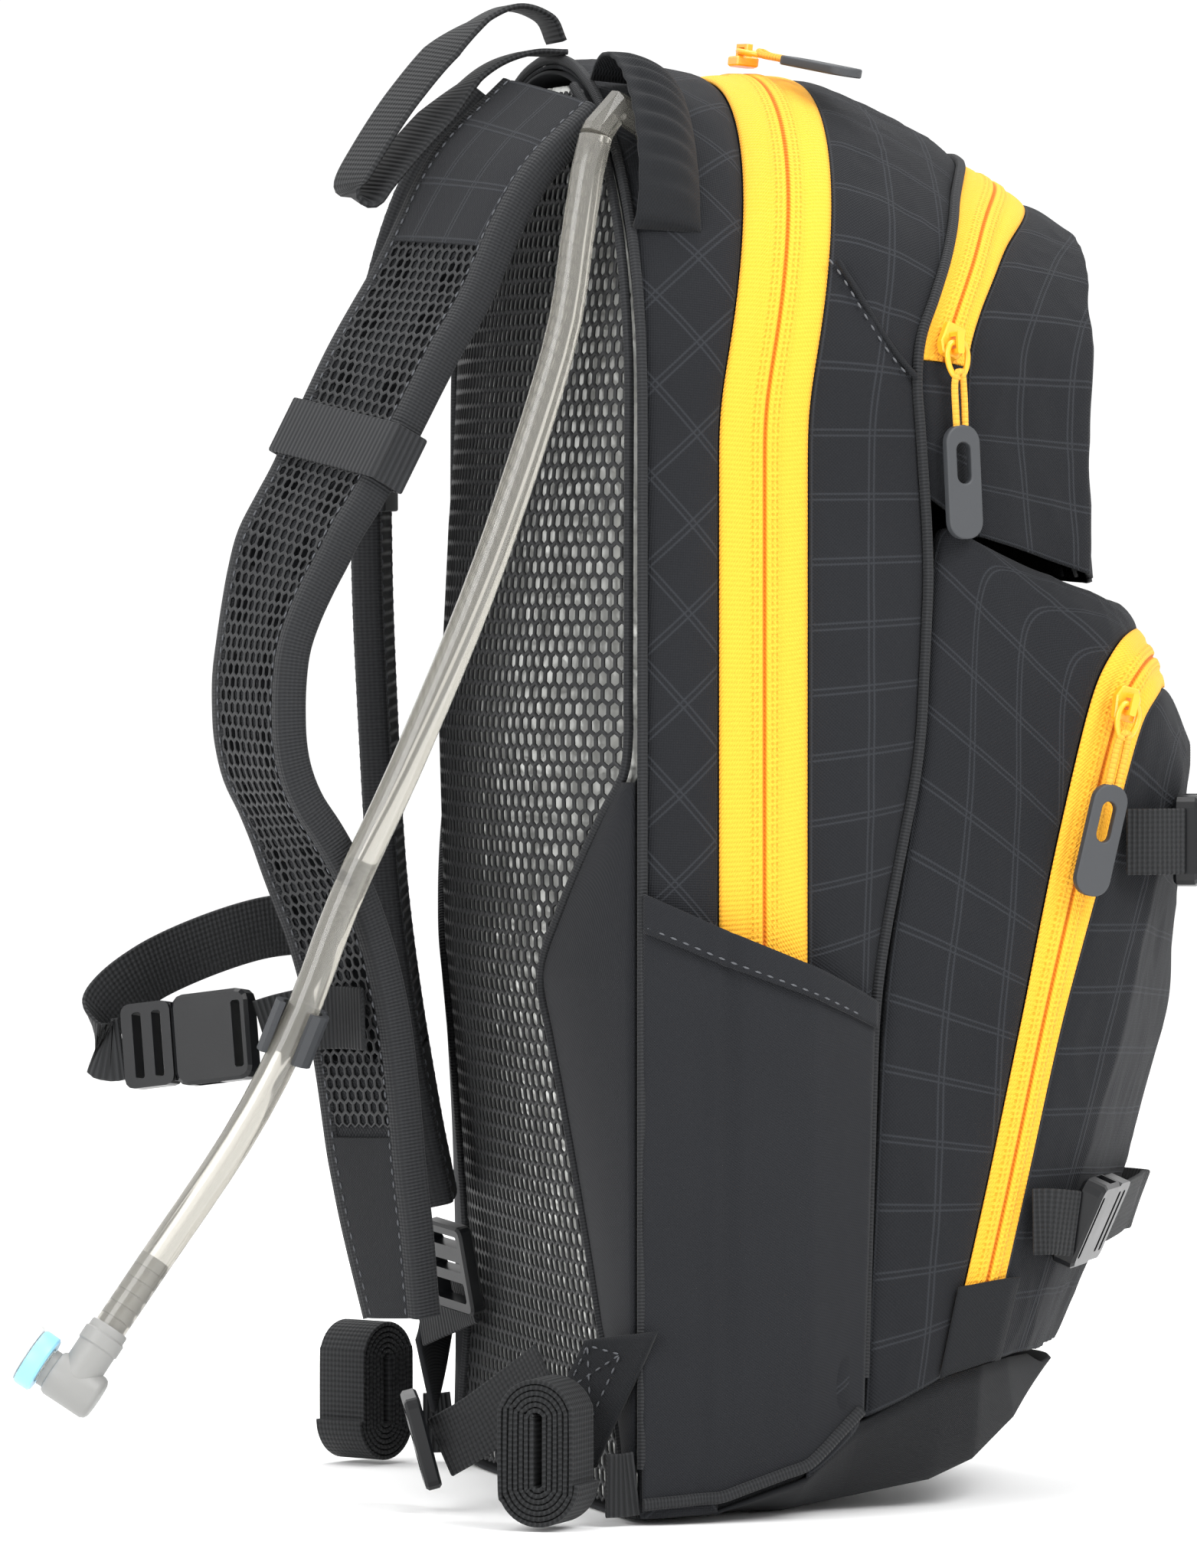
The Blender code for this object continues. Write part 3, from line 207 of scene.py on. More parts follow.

# %% [markdown]
# ### Webbing and binding
# Webbing is woven so tightly that it shows ribs across its length. The same cloth, narrower and thinner,
# binds the straps' edges as grosgrain. The ribs' relief is painted into the colour, as painted light and
# shade.

# %% Webbing
def ribbed(name, colour, rib_mm, light="#3c3d3f", depth_mm=0.3):
    made, tree, shader = new_material(name, colour, 0.7, Sheen_Weight=0.04, Specular_IOR_Level=0.2)
    cloth = add(tree, "ShaderNodeUVMap", {"uv_map": "cloth"})
    apart = add(tree, "ShaderNodeSeparateXYZ", None, {0: cloth.outputs["UV"]})
    along = add(tree, "ShaderNodeMath", {"operation": "MULTIPLY", 1: 2 * math.pi / (rib_mm * MM)},
                {0: apart.outputs[0]})
    ribs = add(tree, "ShaderNodeMath", {"operation": "SINE"}, {0: along.outputs[0]})
    across = add(tree, "ShaderNodeMath", {"operation": "MULTIPLY", 1: 2 * math.pi / (1.6 * MM)},
                 {0: apart.outputs[1]})
    warp = add(tree, "ShaderNodeMath", {"operation": "SINE"}, {0: across.outputs[0]})
    both = add(tree, "ShaderNodeMath", {"operation": "MULTIPLY_ADD", 1: 0.45},
               {0: warp.outputs[0], 2: ribs.outputs[0]})
    # Painted light and shade: the ribs' height sets how far the colour goes towards the second colour.
    tone = add(tree, "ShaderNodeMapRange", {"From Min": -1.4, "From Max": 1.4, "To Min": 0.0, "To Max": 0.42},
               {"Value": both.outputs[0]})
    mix = add(tree, "ShaderNodeMix", {"data_type": "RGBA"}, {"Factor": tone.outputs[0]})
    mix.inputs[6].default_value = linear(colour)
    mix.inputs[7].default_value = linear(light)
    bump = add(tree, "ShaderNodeBump", {"Strength": 0.8, "Distance": depth_mm * MM},
               {"Height": both.outputs[0]})
    tree.links.new(mix.outputs[2], shader.inputs["Base Color"])
    tree.links.new(bump.outputs[0], shader.inputs["Normal"])
    return made


webbing = ribbed("polyester_webbing", "#151617", 1.7)
binding = ribbed("grosgrain_binding", "#18191b", 1.1, depth_mm=0.2)
elastic = ribbed("knitted_elastic", "#1d1e20", 2.2)

# %% [markdown]
# ### Zip tape
# The zips are reversed coils: the teeth are on the inside and the outside shows two bands of yellow tape
# that meet at a slit. Rows of sewing run each side of it, and the tape's knit shows as small slanting
# stitches. The slit, the sunk sewing rows and the knit's relief are painted darker, as painted shade.

# %% Zip tape
def zip_cloth(name, colour, shade_colour, slit_shade_colour, scale=1.0):
    made, tree, shader = new_material(name, colour, 0.7, Sheen_Weight=0.05, Specular_IOR_Level=0.2)
    cloth = add(tree, "ShaderNodeUVMap", {"uv_map": "cloth"})
    apart = add(tree, "ShaderNodeSeparateXYZ", None, {0: cloth.outputs["UV"]})
    side = add(tree, "ShaderNodeMath", {"operation": "ABSOLUTE"}, {0: apart.outputs[1]})
    slant = add(tree, "ShaderNodeMath", {"operation": "MULTIPLY_ADD", 1: 0.8},
                {0: side.outputs[0], 2: apart.outputs[0]})
    phase = add(tree, "ShaderNodeMath", {"operation": "MULTIPLY", 1: 2 * math.pi / (1.5 * MM)},
                {0: slant.outputs[0]})
    knit = add(tree, "ShaderNodeMath", {"operation": "SINE"}, {0: phase.outputs[0]})
    across = add(tree, "ShaderNodeMath", {"operation": "MULTIPLY", 1: 2 * math.pi / (1.7 * MM)},
                 {0: side.outputs[0]})
    columns = add(tree, "ShaderNodeMath", {"operation": "SINE"}, {0: across.outputs[0]})
    surface = add(tree, "ShaderNodeMath", {"operation": "MULTIPLY"},
                  {0: knit.outputs[0], 1: columns.outputs[0]})
    rows = []
    for distance in (2.5, 4.0):
        off = add(tree, "ShaderNodeMath", {"operation": "SUBTRACT", 1: distance * scale * MM},
                  {0: side.outputs[0]})
        near = add(tree, "ShaderNodeMath", {"operation": "ABSOLUTE"}, {0: off.outputs[0]})
        rows.append(add(tree, "ShaderNodeMapRange", {"From Min": 0.15 * MM, "From Max": 0.5 * MM,
                                                     "To Min": 1.0,
                                                     "To Max": 0.0}, {"Value": near.outputs[0]}))
    row = add(tree, "ShaderNodeMath", {"operation": "MAXIMUM"},
              {0: rows[0].outputs[0], 1: rows[1].outputs[0]})
    beat = add(tree, "ShaderNodeMath", {"operation": "MULTIPLY", 1: 2 * math.pi / (2.0 * MM)},
               {0: apart.outputs[0]})
    dots = add(tree, "ShaderNodeMath", {"operation": "SINE"}, {0: beat.outputs[0]})
    dash = add(tree, "ShaderNodeMapRange", {"From Min": -0.5, "From Max": 0.5}, {"Value": dots.outputs[0]})
    stitched = add(tree, "ShaderNodeMath", {"operation": "MULTIPLY"}, {0: row.outputs[0], 1: dash.outputs[0]})
    # Painted shade: the slit between the tapes is painted a darker orange.
    slit = add(tree, "ShaderNodeMapRange", {"From Min": 0.35 * MM, "From Max": 0.9 * MM, "To Min": 1.0,
                                            "To Max": 0.0}, {"Value": side.outputs[0]})
    # Painted shade: the knit's relief and the sunk sewing rows are painted in the shade colour.
    tone = add(tree, "ShaderNodeMapRange", {"From Min": -1.0, "From Max": 1.0, "To Min": 0.0, "To Max": 0.55},
               {"Value": surface.outputs[0]})
    darker = add(tree, "ShaderNodeMath", {"operation": "MAXIMUM"},
                 {0: tone.outputs[0], 1: stitched.outputs[0]})
    body = add(tree, "ShaderNodeMix", {"data_type": "RGBA"}, {"Factor": darker.outputs[0]})
    body.inputs[6].default_value = linear(colour)
    body.inputs[7].default_value = linear(shade_colour)
    whole = add(tree, "ShaderNodeMix", {"data_type": "RGBA"}, {"Factor": slit.outputs[0], 6: body.outputs[2]})
    whole.inputs[7].default_value = linear(slit_shade_colour)
    sunk = add(tree, "ShaderNodeMath", {"operation": "MULTIPLY_ADD", 1: -2.0},
               {0: stitched.outputs[0], 2: surface.outputs[0]})
    bump = add(tree, "ShaderNodeBump", {"Strength": 0.7, "Distance": 0.25 * MM}, {"Height": sunk.outputs[0]})
    tree.links.new(whole.outputs[2], shader.inputs["Base Color"])
    tree.links.new(bump.outputs[0], shader.inputs["Normal"])
    return made


# The last two colours are painted shade: one for the knit and the sewing rows, one for the slit.
zip_tape = zip_cloth("yellow_polyester_zip_tape", "#f9b535", "#e59a20", "#c9700f")

# %% [markdown]
# ### Plastics, rubber, film and metal
# Moulded acetal is nearly black with a soft gloss. Silicone and the tube let light through and scatter
# it, so they look milky. The foil behind the mesh is crumpled film with a metal coat.

# %% Moulded parts, film and tube
def moulded(name, colour, roughness, grain_mm=0.6, depth_mm=0.03, **more):
    """A moulded or cast surface, with the fine texture that its mould leaves and slightly uneven gloss."""
    made, tree, shader = new_material(name, colour, roughness, **more)
    place = add(tree, "ShaderNodeTexCoord")
    grain = add(tree, "ShaderNodeTexNoise", {"Scale": 1 / (grain_mm * MM), "Detail": 3.0},
                {"Vector": place.outputs["Object"]})
    bump = add(tree, "ShaderNodeBump", {"Strength": 0.5, "Distance": depth_mm * MM},
               {"Height": grain.outputs["Fac"]})
    uneven = add(tree, "ShaderNodeTexNoise", {"Scale": 60.0, "Detail": 3.0},
                 {"Vector": place.outputs["Object"]})
    gloss = add(tree, "ShaderNodeMapRange", {"To Min": roughness * 0.8, "To Max": min(1.0, roughness * 1.25)},
                {"Value": uneven.outputs["Fac"]})
    tree.links.new(gloss.outputs[0], shader.inputs["Roughness"])
    tree.links.new(bump.outputs[0], shader.inputs["Normal"])
    return made


acetal = moulded("moulded_black_acetal", "#101113", 0.3, Specular_IOR_Level=0.3)
rubber = moulded("moulded_charcoal_rubber", "#35373a", 0.55, depth_mm=0.05)
grey_plastic = moulded("moulded_grey_plastic", "#858583", 0.42, Specular_IOR_Level=0.35)
yellow_zinc = moulded("painted_yellow_zinc", "#f3a81f", 0.38, Coat_Weight=0.4)
blue_plastic = moulded("moulded_pale_blue_ring", "#86bfdb", 0.35)
cap_plastic = moulded("moulded_blue_cap", "#3465a4", 0.4)
silicone = moulded("clear_silicone", "#f1f2f0", 0.28, Transmission_Weight=0.55, IOR=1.41)
bladder_film = moulded("clear_bladder_film", "#c9d8e2", 0.2, Transmission_Weight=0.5, IOR=1.45)
tube_plastic = moulded("clear_tube_plastic", "#c9c6bd", 0.16, depth_mm=0.01, Transmission_Weight=0.84,
                       IOR=1.38,
                       Coat_Weight=0.4)
foil = moulded("crumpled_metal_film", "#d9dad6", 0.3, grain_mm=6.0, depth_mm=0.8, Metallic=0.75)
thread = moulded("black_sewing_thread", "#4a4c50", 0.6)
net = moulded("black_polyester_net", "#18191b", 0.6)
foam_cloth = woven("strap_spacer_mesh", "#1a1b1d", 1.7, depth_mm=0.4, light="#34363a")
# The cord's second colour is a darker yellow, painted shade along its ribs.
cord_fibre = ribbed("yellow_pull_cord", "#f0b040", 1.6, light="#c98f2c")

# %% [markdown]
# ## Building blocks
# Most pieces are grids of points: cloth panels follow the bag's surface, straps follow a route. Each grid
# keeps a map of its own lengths in metres, named "cloth", so a weave has its real size on every piece.

# %% Building blocks
def piece(name, mesh, look, body, replaces=(), smooth=45):
    """Puts a finished mesh in the scene, on its body, in place of the solids that it stands for."""
    made = bpy.data.objects.new(name, mesh)
    scene.collection.objects.link(made)
    mesh.materials.append(look)
    mesh.shade_smooth()
    mesh.set_sharp_from_angle(angle=math.radians(smooth))
    if body:
        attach(made, body)
    if replaces:
        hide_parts(*replaces)
    return made


def grid_mesh(name, points, lengths, loop=False, merge=0.0):
    """A mesh of a grid of points, points[i][j], with lengths[i][j] = (along, across) as its cloth map."""
    rows, columns = points.shape[:2]
    mesh = bpy.data.meshes.new(name)
    faces = []
    last = columns if loop else columns - 1
    for i in range(rows - 1):
        for j in range(last):
            k = (j + 1) % columns
            faces.append((i * columns + j, (i + 1) * columns + j, (i + 1) * columns + k, i * columns + k))
    mesh.from_pydata(points.reshape(-1, 3).tolist(), [], faces)
    layer = mesh.uv_layers.new(name="cloth")
    flat = lengths.reshape(-1, 2)
    step = (lengths[:, -1, 1] - lengths[:, -2, 1]).mean() if loop else 0
    uvs = np.zeros((len(mesh.loops), 2), np.float32)
    at_loop = 0
    for i in range(rows - 1):
        for j in range(last):
            wrap = loop and j == columns - 1
            k = (j + 1) % columns
            for row, column, over in ((i, j, False), (i + 1, j, False), (i + 1, k, wrap), (i, k, wrap)):
                uv = flat[row * columns + column]
                uvs[at_loop] = (uv[0], lengths[row, -1, 1] + step) if over else uv
                at_loop += 1
    layer.data.foreach_set("uv", uvs.ravel())
    if merge:
        shape = bmesh.new()
        shape.from_mesh(mesh)
        bmesh.ops.remove_doubles(shape, verts=shape.verts, dist=merge)
        bmesh.ops.dissolve_degenerate(shape, edges=shape.edges, dist=1e-6)
        shape.to_mesh(mesh)
        shape.free()
    return mesh


def solidify(obj, thick_mm, offset=-1.0):
    made = obj.modifiers.new("cloth_thickness", "SOLIDIFY")
    made.thickness = thick_mm * MM
    made.offset = offset
    return obj


def arc_lengths(points, axis):
    steps = np.linalg.norm(np.diff(points, axis=axis), axis=2)
    pad = [(0, 0), (0, 0)]
    pad[axis] = (1, 0)
    return np.pad(np.cumsum(steps, axis=axis), pad)


def frames_along(route, across, steps, metres=False):
    """Centre, width direction and face direction at even steps along a smooth route."""
    path = smooth_through(route if metres else [at(*p) for p in route], steps + 1)
    wides = np.array(across if isinstance(across[0], (tuple, list, Vector)) else [across] * len(route), float)
    shares = np.linspace(0, 1, len(wides))
    frames = []
    for k, centre in enumerate(path):
        tangent = (path[min(k + 1, steps)] - path[max(k - 1, 0)]).normalized()
        side = Vector([np.interp(k / steps, shares, wides[:, c]) for c in range(3)])
        side = (side - tangent * side.dot(tangent)).normalized()
        frames.append((centre, side, tangent.cross(side)))
    return frames


def closed_piece(name, points, look, body, replaces=(), smooth=45):
    """Joins closed outlines, points[row][outline], into one solid with filled ends."""
    lengths = np.stack([arc_lengths(points, 0).mean(axis=1, keepdims=True) + 0 * points[:, :, 0],
                        arc_lengths(points, 1)], axis=2)
    mesh = grid_mesh(name, points, lengths, loop=True)
    shape = bmesh.new()
    shape.from_mesh(mesh)
    edges = [e for e in shape.edges if e.is_boundary]
    bmesh.ops.holes_fill(shape, edges=edges, sides=0)
    bmesh.ops.recalc_face_normals(shape, faces=shape.faces)
    shape.to_mesh(mesh)
    shape.free()
    return piece(name, mesh, look, body, replaces, smooth)


def swept(name, route, section, across, steps, look, body, replaces=(), smooth=45, metres=False,
          span=(0.0, 1.0)):
    """A closed section carried along a smooth route. section(share) gives its outline in mm."""
    rows = []
    for k, (centre, side, face) in enumerate(frames_along(route, across, steps, metres)):
        if span[0] <= k / steps <= span[1]:
            rows.append([tuple(centre + (side * a + face * b) * MM) for a, b in section(k / steps)])
    return closed_piece(name, np.array(rows), look, body, replaces, smooth)


def flat_section(width, thick, points=5):
    """Outline of webbing: flat faces and round edges."""
    outline = []
    for sign, start in ((1, -90), (-1, 90)):
        for k in range(points):
            turn = math.radians(start + 180 * k / (points - 1))
            outline.append((sign * (width / 2 - thick / 2) + thick / 2 * math.cos(turn),
                            thick / 2 * math.sin(turn)))
    return outline


def soft_section(width, thick, points=24, square=0.55):
    """Outline of a foam pad or a binding: nearly a rectangle, with full, round edges."""
    turns = [2 * math.pi * k / points for k in range(points)]
    return [(width / 2 * math.copysign(abs(math.cos(t)) ** square, math.cos(t)),
             thick / 2 * math.copysign(abs(math.sin(t)) ** square, math.sin(t))) for t in turns]


def round_section(radius, points=10):
    return soft_section(2 * radius, 2 * radius, points, 1.0)


def interpolated(share, values):
    return float(np.interp(share, np.linspace(0, 1, len(values)), values))

# %% [markdown]
# ## The drink tube
# The tube is 10.6 mm soft plastic. It leaves the bag under a gathered hood, leans away from the back
# panel, goes through a clip on the shoulder strap and hangs to its bite valve. It is one curve with a
# round bevel, so its thickness stays true along the whole run.

# %% Drink tube
TUBE_OD = 10.6
HIDDEN_SHARE = 0.5120
HOSE_ROUTE = [(-30, 44, 52), (-33, 44, 75), (-48, 44, 120), (-60, 44, 200), (-66, 45, 300), (-70, 50, 370),
              (-73.5, 61, 408), (-78.5, 73.5, 435), (-83, 84, 445), (-87, 93, 438), (-90, 98, 424), (-92,
                      102, 402),
              (-91, 108, 367), (-88, 130, 299), (-84, 154, 240), (-81, 174, 196), (-79, 189, 157),
              (-77, 207, 122), (-75, 235, 81), (-74, 248, 62)]
fine = smooth_through([at(*p) for p in HOSE_ROUTE], 1200)[int(HIDDEN_SHARE * 1199):]
tube_path = smooth_through(fine[::12] + [fine[-1]], 36)
curve = bpy.data.curves.new("drink_hose", "CURVE")
curve.dimensions = "3D"
curve.bevel_depth = TUBE_OD / 2 * MM
curve.bevel_resolution = 8
curve.use_fill_caps = True
line = curve.splines.new("POLY")
line.points.add(len(tube_path) - 1)
for point, spot in zip(line.points, tube_path):
    point.co = (*spot, 1.0)
line.use_smooth = True
hose = bpy.data.objects.new("drink_hose", curve)
scene.collection.objects.link(hose)
curve.materials.append(tube_plastic)
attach(hose, "pack")
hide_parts("drink_tube")


# %% [markdown]
# ### Elbow and bite valve
# A barbed stem pushes into the tube's end and turns in it. The elbow is moulded grey plastic with a round
# end cap, and the bite valve is clear silicone over a pale blue ring. All are round, so they are turned
# profiles.

# %% Elbow and bite valve
def frame_from(origin, along, up):
    """Local X along, local Z nearly up."""
    x = Vector(along).normalized()
    z = Vector(up)
    z = (z - x * z.dot(x)).normalized()
    made = Matrix((x, z.cross(x), z)).transposed().to_4x4()
    made.translation = origin
    return made


def lathe(name, profile, place, look, body, sides=48, replaces=(), smooth=35):
    """A profile of (radius, height) in mm, turned about the frame's local Z."""
    turns = [2 * math.pi * k / sides for k in range(sides)]
    points = np.array([[tuple(place @ Vector((r * math.cos(t) * MM, r * math.sin(t) * MM, z * MM))) for r,
                        z in profile]
                       for t in turns + [0.0]])
    lengths = np.stack([arc_lengths(points, 0), arc_lengths(points, 1)], axis=2)
    mesh = grid_mesh(name, points, lengths, loop=False, merge=1e-6)
    shape = bmesh.new()
    shape.from_mesh(mesh)
    bmesh.ops.recalc_face_normals(shape, faces=shape.faces)
    shape.to_mesh(mesh)
    shape.free()
    return piece(name, mesh, look, body, replaces, smooth)


end = tube_path[-1]
down = (fine[-1] - fine[-4]).normalized()
stem_place = frame_from(end + down * 0.4 * MM, Vector((1, 0, 0)), down)
stem = [(0, -26), (3.0, -26)]
for k in range(5):
    stem += [(3.2, -25 + 4.6 * k), (4.2, -22 + 4.6 * k), (3.2, -21.6 + 4.6 * k)]
stem += [(3.2, -0.2), (6.0, -0.2), (6.3, 0.4), (6.3, 2.4), (6.9, 3.0), (6.9, 7), (6.5, 7.5), (6.5, 19),
         (0, 19)]
elbow_body = lathe("elbow_body", stem, stem_place, grey_plastic, "elbow", 40, ("elbow",))
out = Vector((0.30, 0.74, 0.60))
out = (out - down * out.dot(down)).normalized()
corner = end + down * 21.4 * MM
cross_place = frame_from(corner, down, out)
cap = [(0, -9.4), (5.8, -9.4), (6.9, -8.8), (7.5, -7.6), (7.6, 6.0), (7.0, 7.2), (6.2, 7.6), (6.2, 9.6),
       (0, 9.6)]
elbow_cap = lathe("elbow_cap", cap, cross_place, grey_plastic, "elbow", 40, ())
valve_place = frame_from(corner + out * 9.9 * MM, down, out)
ring = [(6.0, 0.4), (8.9, 0.4), (9.5, 1.0), (9.6, 5.2), (9.2, 6.0), (6.0, 6.0), (6.0, 0.4)]
ring_piece = lathe("bite_valve_ring", ring, valve_place, blue_plastic, "valve", 40, ("valve_ring",))
bulb = [(0, 0.2), (5.5, 0.2), (5.5, 6.4), (9.0, 6.5), (9.9, 7.4), (10.2, 9), (10.3, 14), (10.2, 19.5),
        (9.5, 22.8),
        (7.6, 24.9), (4.5, 25.7), (1.0, 25.8), (0.6, 24.8), (0, 24.8)]
valve = lathe("bite_valve_bulb", bulb, valve_place, silicone, "valve", 48, ("bite_valve",))

# %% [markdown]
# ## The bag's surface
# Seven seam lines shape the main body like ribs, and five shape the front pocket. `bag` and `pocket` blend
# smoothly between them. Panels are cut from these surfaces, as a pattern cutter would.

# %% Surfaces
BREAK_Z, CORNER_Z = 322.0, 350.0
U_CROWN, U_CORNER, U_BREAK = 0.033, 0.33, 0.388
BODY_SEAMS = [
    (5.0, 115.0, 462.0, BREAK_Z, 1.5, [(0, 88), (462, 88)]),
    (5.0, 115.0, 457.4, BREAK_Z, 3.0, [(0, 62), (350, 62), (457.4, 38.4)]),
    (5.0, 115.0, 457.4, BREAK_Z, 13.0, [(0, 33), (350, 33), (457.4, 9.4)]),
    (5.0, 111.0, 431.0, BREAK_Z, 30.0,
     [(30, 14), (162, 10), (187, 6), (240, -5), (300, -8), (367, -3.3), (392, -17), (420, -32), (431, -46)]),
    (5.0, 106.0, 418.0, 307.0, 30.0, [(300, -27), (345, -21), (367, -23), (382, -30.5), (402, -45.6),
                                      (418, -68)]),
    (5.0, 88.0, 408.0, 293.0, 30.0, [(290, -66), (350, -66), (380, -70), (408, -80)]),
    (0.0, 0.0, 400.0, 289.0, 30.0, [(289, -98), (305, -93), (340, -86), (378, -81), (400, -77)]),
]
POCKET_SEAMS = [
    [(111, 14, 31), (112, 11, 100), (112, 8, 170), (111, -5, 240), (109.5, -8, 318), (107, -26, 306),
     (92, -64, 292), (48, -82, 289), (0, -99.5, 287.5)],
    [(108, -14, 44), (109, -27, 99), (109, -39, 155), (109, -49, 205), (108, -63, 262), (101, -75, 277),
     (82, -86, 280), (42, -100, 279), (0, -107, 278)],
    [(105, -29, 48), (106, -41, 99), (107, -53, 155), (107, -66, 200), (105, -80, 250), (97, -89, 259),
     (76, -97, 261), (40, -110, 260), (0, -117, 258)],
    [(88, -46, 50), (92, -62, 99), (94, -77, 155), (94, -88, 200), (91, -97, 232), (78, -103, 240),
     (60, -110, 242), (32, -118, 241), (0, -122, 240)],
    [(0, -84, 47), (0, -105, 93), (0, -122, 150), (0, -125, 190), (0, -126, 205), (0, -126, 215),
     (0, -126, 220), (0, -125.5, 224), (0, -125, 227)],
]
TABLE_U = np.linspace(-1, 1, 801)


def body_line(seam):
    corner_x, half, crown, break_z, foot, depths = BODY_SEAMS[seam]
    s = np.abs(TABLE_U)
    turn = np.clip((s - U_CROWN) / (U_CORNER - U_CROWN), 0, 1) * math.pi / 2
    x = np.where(s < U_CROWN, corner_x * s / U_CROWN, corner_x + (half - corner_x) * np.sin(turn))
    z = CORNER_Z + (crown - CORNER_Z) * np.cos(turn)
    z = np.where(s > U_CORNER, CORNER_Z + (break_z - CORNER_Z) * (s - U_CORNER) / (U_BREAK - U_CORNER), z)
    z = np.where(s > U_BREAK, break_z + (foot - break_z) * (s - U_BREAK) / (1 - U_BREAK), z)
    depth = np.interp(z, [d[0] for d in depths], [d[1] for d in depths])
    return np.stack([np.sign(TABLE_U) * x, depth, z], axis=1)


def pocket_line(seam):
    table = np.array(POCKET_SEAMS[seam], float)
    spots = (1 - np.abs(TABLE_U)) * (len(table) - 1)
    line_points = np.stack([np.interp(spots, range(len(table)), table[:, k]) for k in range(3)], axis=1)
    line_points[:, 0] *= np.where(TABLE_U < 0, -1, 1)
    return line_points


def eased(line_points, reach):
    """Rounds the corners of a line of points, which keeps its ends."""
    kernel = np.exp(-0.5 * (np.arange(-3 * reach, 3 * reach + 1) / reach) ** 2)
    kernel /= kernel.sum()
    first, last = line_points[0], line_points[-1]
    before = 2 * first - line_points[3 * reach:0:-1]
    after = 2 * last - line_points[-2:-3 * reach - 2:-1]
    whole = np.vstack([before, line_points, after])
    return np.stack([np.convolve(whole[:, k], kernel, "valid") for k in range(3)], axis=1)


body_table = np.array([eased(body_line(k), 7) for k in range(7)])
pocket_table = np.array([eased(pocket_line(k), 14) for k in range(5)])


def on_table(table, u, v):
    """Points at path values u and seam values v, both arrays, blended between the seam lines."""
    low = np.clip(v.astype(int), 0, len(table) - 2)
    share = (v - low)[..., None]
    spot = (u + 1) / 2 * (table.shape[1] - 1)
    left = np.clip(spot.astype(int), 0, table.shape[1] - 2)
    part = (spot - left)[..., None]
    a = table[low, left] * (1 - part) + table[low, left + 1] * part
    b = table[low + 1, left] * (1 - part) + table[low + 1, left + 1] * part
    return a * (1 - share) + b * share


def wrinkle(points, amount, seed, reach=26.0):
    """Slow waves and finer creases in a panel, from noise at the points themselves."""
    out_values = np.zeros(points.shape[:2])
    for i in range(points.shape[0]):
        for j in range(points.shape[1]):
            p = Vector(points[i, j] / reach) + Vector((seed, 0, 0))
            slow = noise.noise(p * 0.7)
            crease = noise.noise(Vector((p.x * 2.3, p.y * 2.3, p.z * 1.1)))
            out_values[i, j] = slow + 0.45 * (1 - 2 * abs(crease))
    return out_values * amount


def outward_normals(points):
    along = np.gradient(points, axis=0)
    across = np.gradient(points, axis=1)
    normal = np.cross(along, across)
    normal /= np.maximum(np.linalg.norm(normal, axis=2, keepdims=True), 1e-9)
    away = ((points - BODY_CENTRE) * normal).sum(axis=2)
    return normal * np.sign(np.median(away))


def world_points(points):
    moved = points.copy()
    moved[..., 1] -= BASE_DEPTH
    return moved * MM


def cloth_panel(name, table, us, vs, look, replaces, puff=0.0, fold=1.6, creases=0.0, seed=0.0,
                lift=None,
                body="pack", centred=False, joined=False):
    """A panel cut from a surface: stuffed by puff, its edges turned in at the seams by fold, and creased."""
    u, v = np.meshgrid(us, vs, indexing="ij")
    points = on_table(table, u, v)
    along, across = arc_lengths(points, 0), arc_lengths(points, 1)
    width = across[:, -1:]
    middle = across / np.maximum(width, 1e-6)
    edge = np.minimum(across, 999 if joined else width - across)
    raised = puff * np.sin(np.pi * middle) ** 0.8 - fold * np.exp(-edge / 2.2)
    if creases:
        raised = raised + wrinkle(points, creases, seed) * np.clip(edge / 14, 0, 1)
    if lift is not None:
        raised = raised + lift(u, v, across - width / 2)
    normals = outward_normals(points)
    if joined:
        normals[:, -1, 0] = 0
    points = points + normals * raised[..., None]
    across = across - (width / 2 if centred else 0)
    middle_row = along[:, [along.shape[1] // 2]]
    lengths = np.stack([middle_row + 0 * across, across], axis=2) * MM
    mesh = grid_mesh(name, world_points(points), lengths, merge=1e-5 if joined else 0.0)
    made = piece(name, mesh, look, body, replaces, 60)
    shape = bmesh.new()
    shape.from_mesh(mesh)
    bmesh.ops.recalc_face_normals(shape, faces=shape.faces)
    sample = shape.faces[:]
    centre = Vector(((BODY_CENTRE - np.array([0, BASE_DEPTH, 0])) * MM).tolist())
    if sum((f.calc_center_median() - centre).dot(f.normal) for f in sample) < 0:
        bmesh.ops.reverse_faces(shape, faces=sample)
    shape.to_mesh(mesh)
    shape.free()
    return solidify(made, 1.2)


# %% [markdown]
# ## The main body
# From the wearer's side forward come the rear gusset, the main zip, the mid gusset, the second zip and the
# front panel. Gussets are stuffed a little and creased, and every edge is turned in where it is sewn.

# %% Gussets and panels
arch = np.linspace(-1, 1, 420)
cloth_panel("rear_gusset_cloth", body_table, arch, np.linspace(0.02, 0.995, 18), ripstop_bias,
            ("rear_gusset",),
            puff=1.6, creases=1.0, seed=1.0)
cloth_panel("mid_gusset_cloth", body_table, arch, np.linspace(2.005, 2.985, 30), ripstop, ("mid_gusset",),
            puff=2.2, creases=1.5, seed=2.0)
U_ZIP = 0.295
cloth_panel("upper_front_cloth", body_table, np.linspace(-U_BREAK, U_BREAK, 240),
            np.linspace(4.005, 6, 60), ripstop,
            ("upper_front_panel",), puff=1.5, creases=1.3, seed=3.0, joined=True)
for side, word in ((-1, "left"), (1, "right")):
    flap_u = np.sort(side * np.linspace(U_ZIP + 0.001, U_BREAK, 40))
    cloth_panel("upper_front_cheek_" + word, body_table, flap_u, np.linspace(3.01, 4.02, 16), ripstop, (),
                puff=0.6, creases=0.8, seed=4.0)

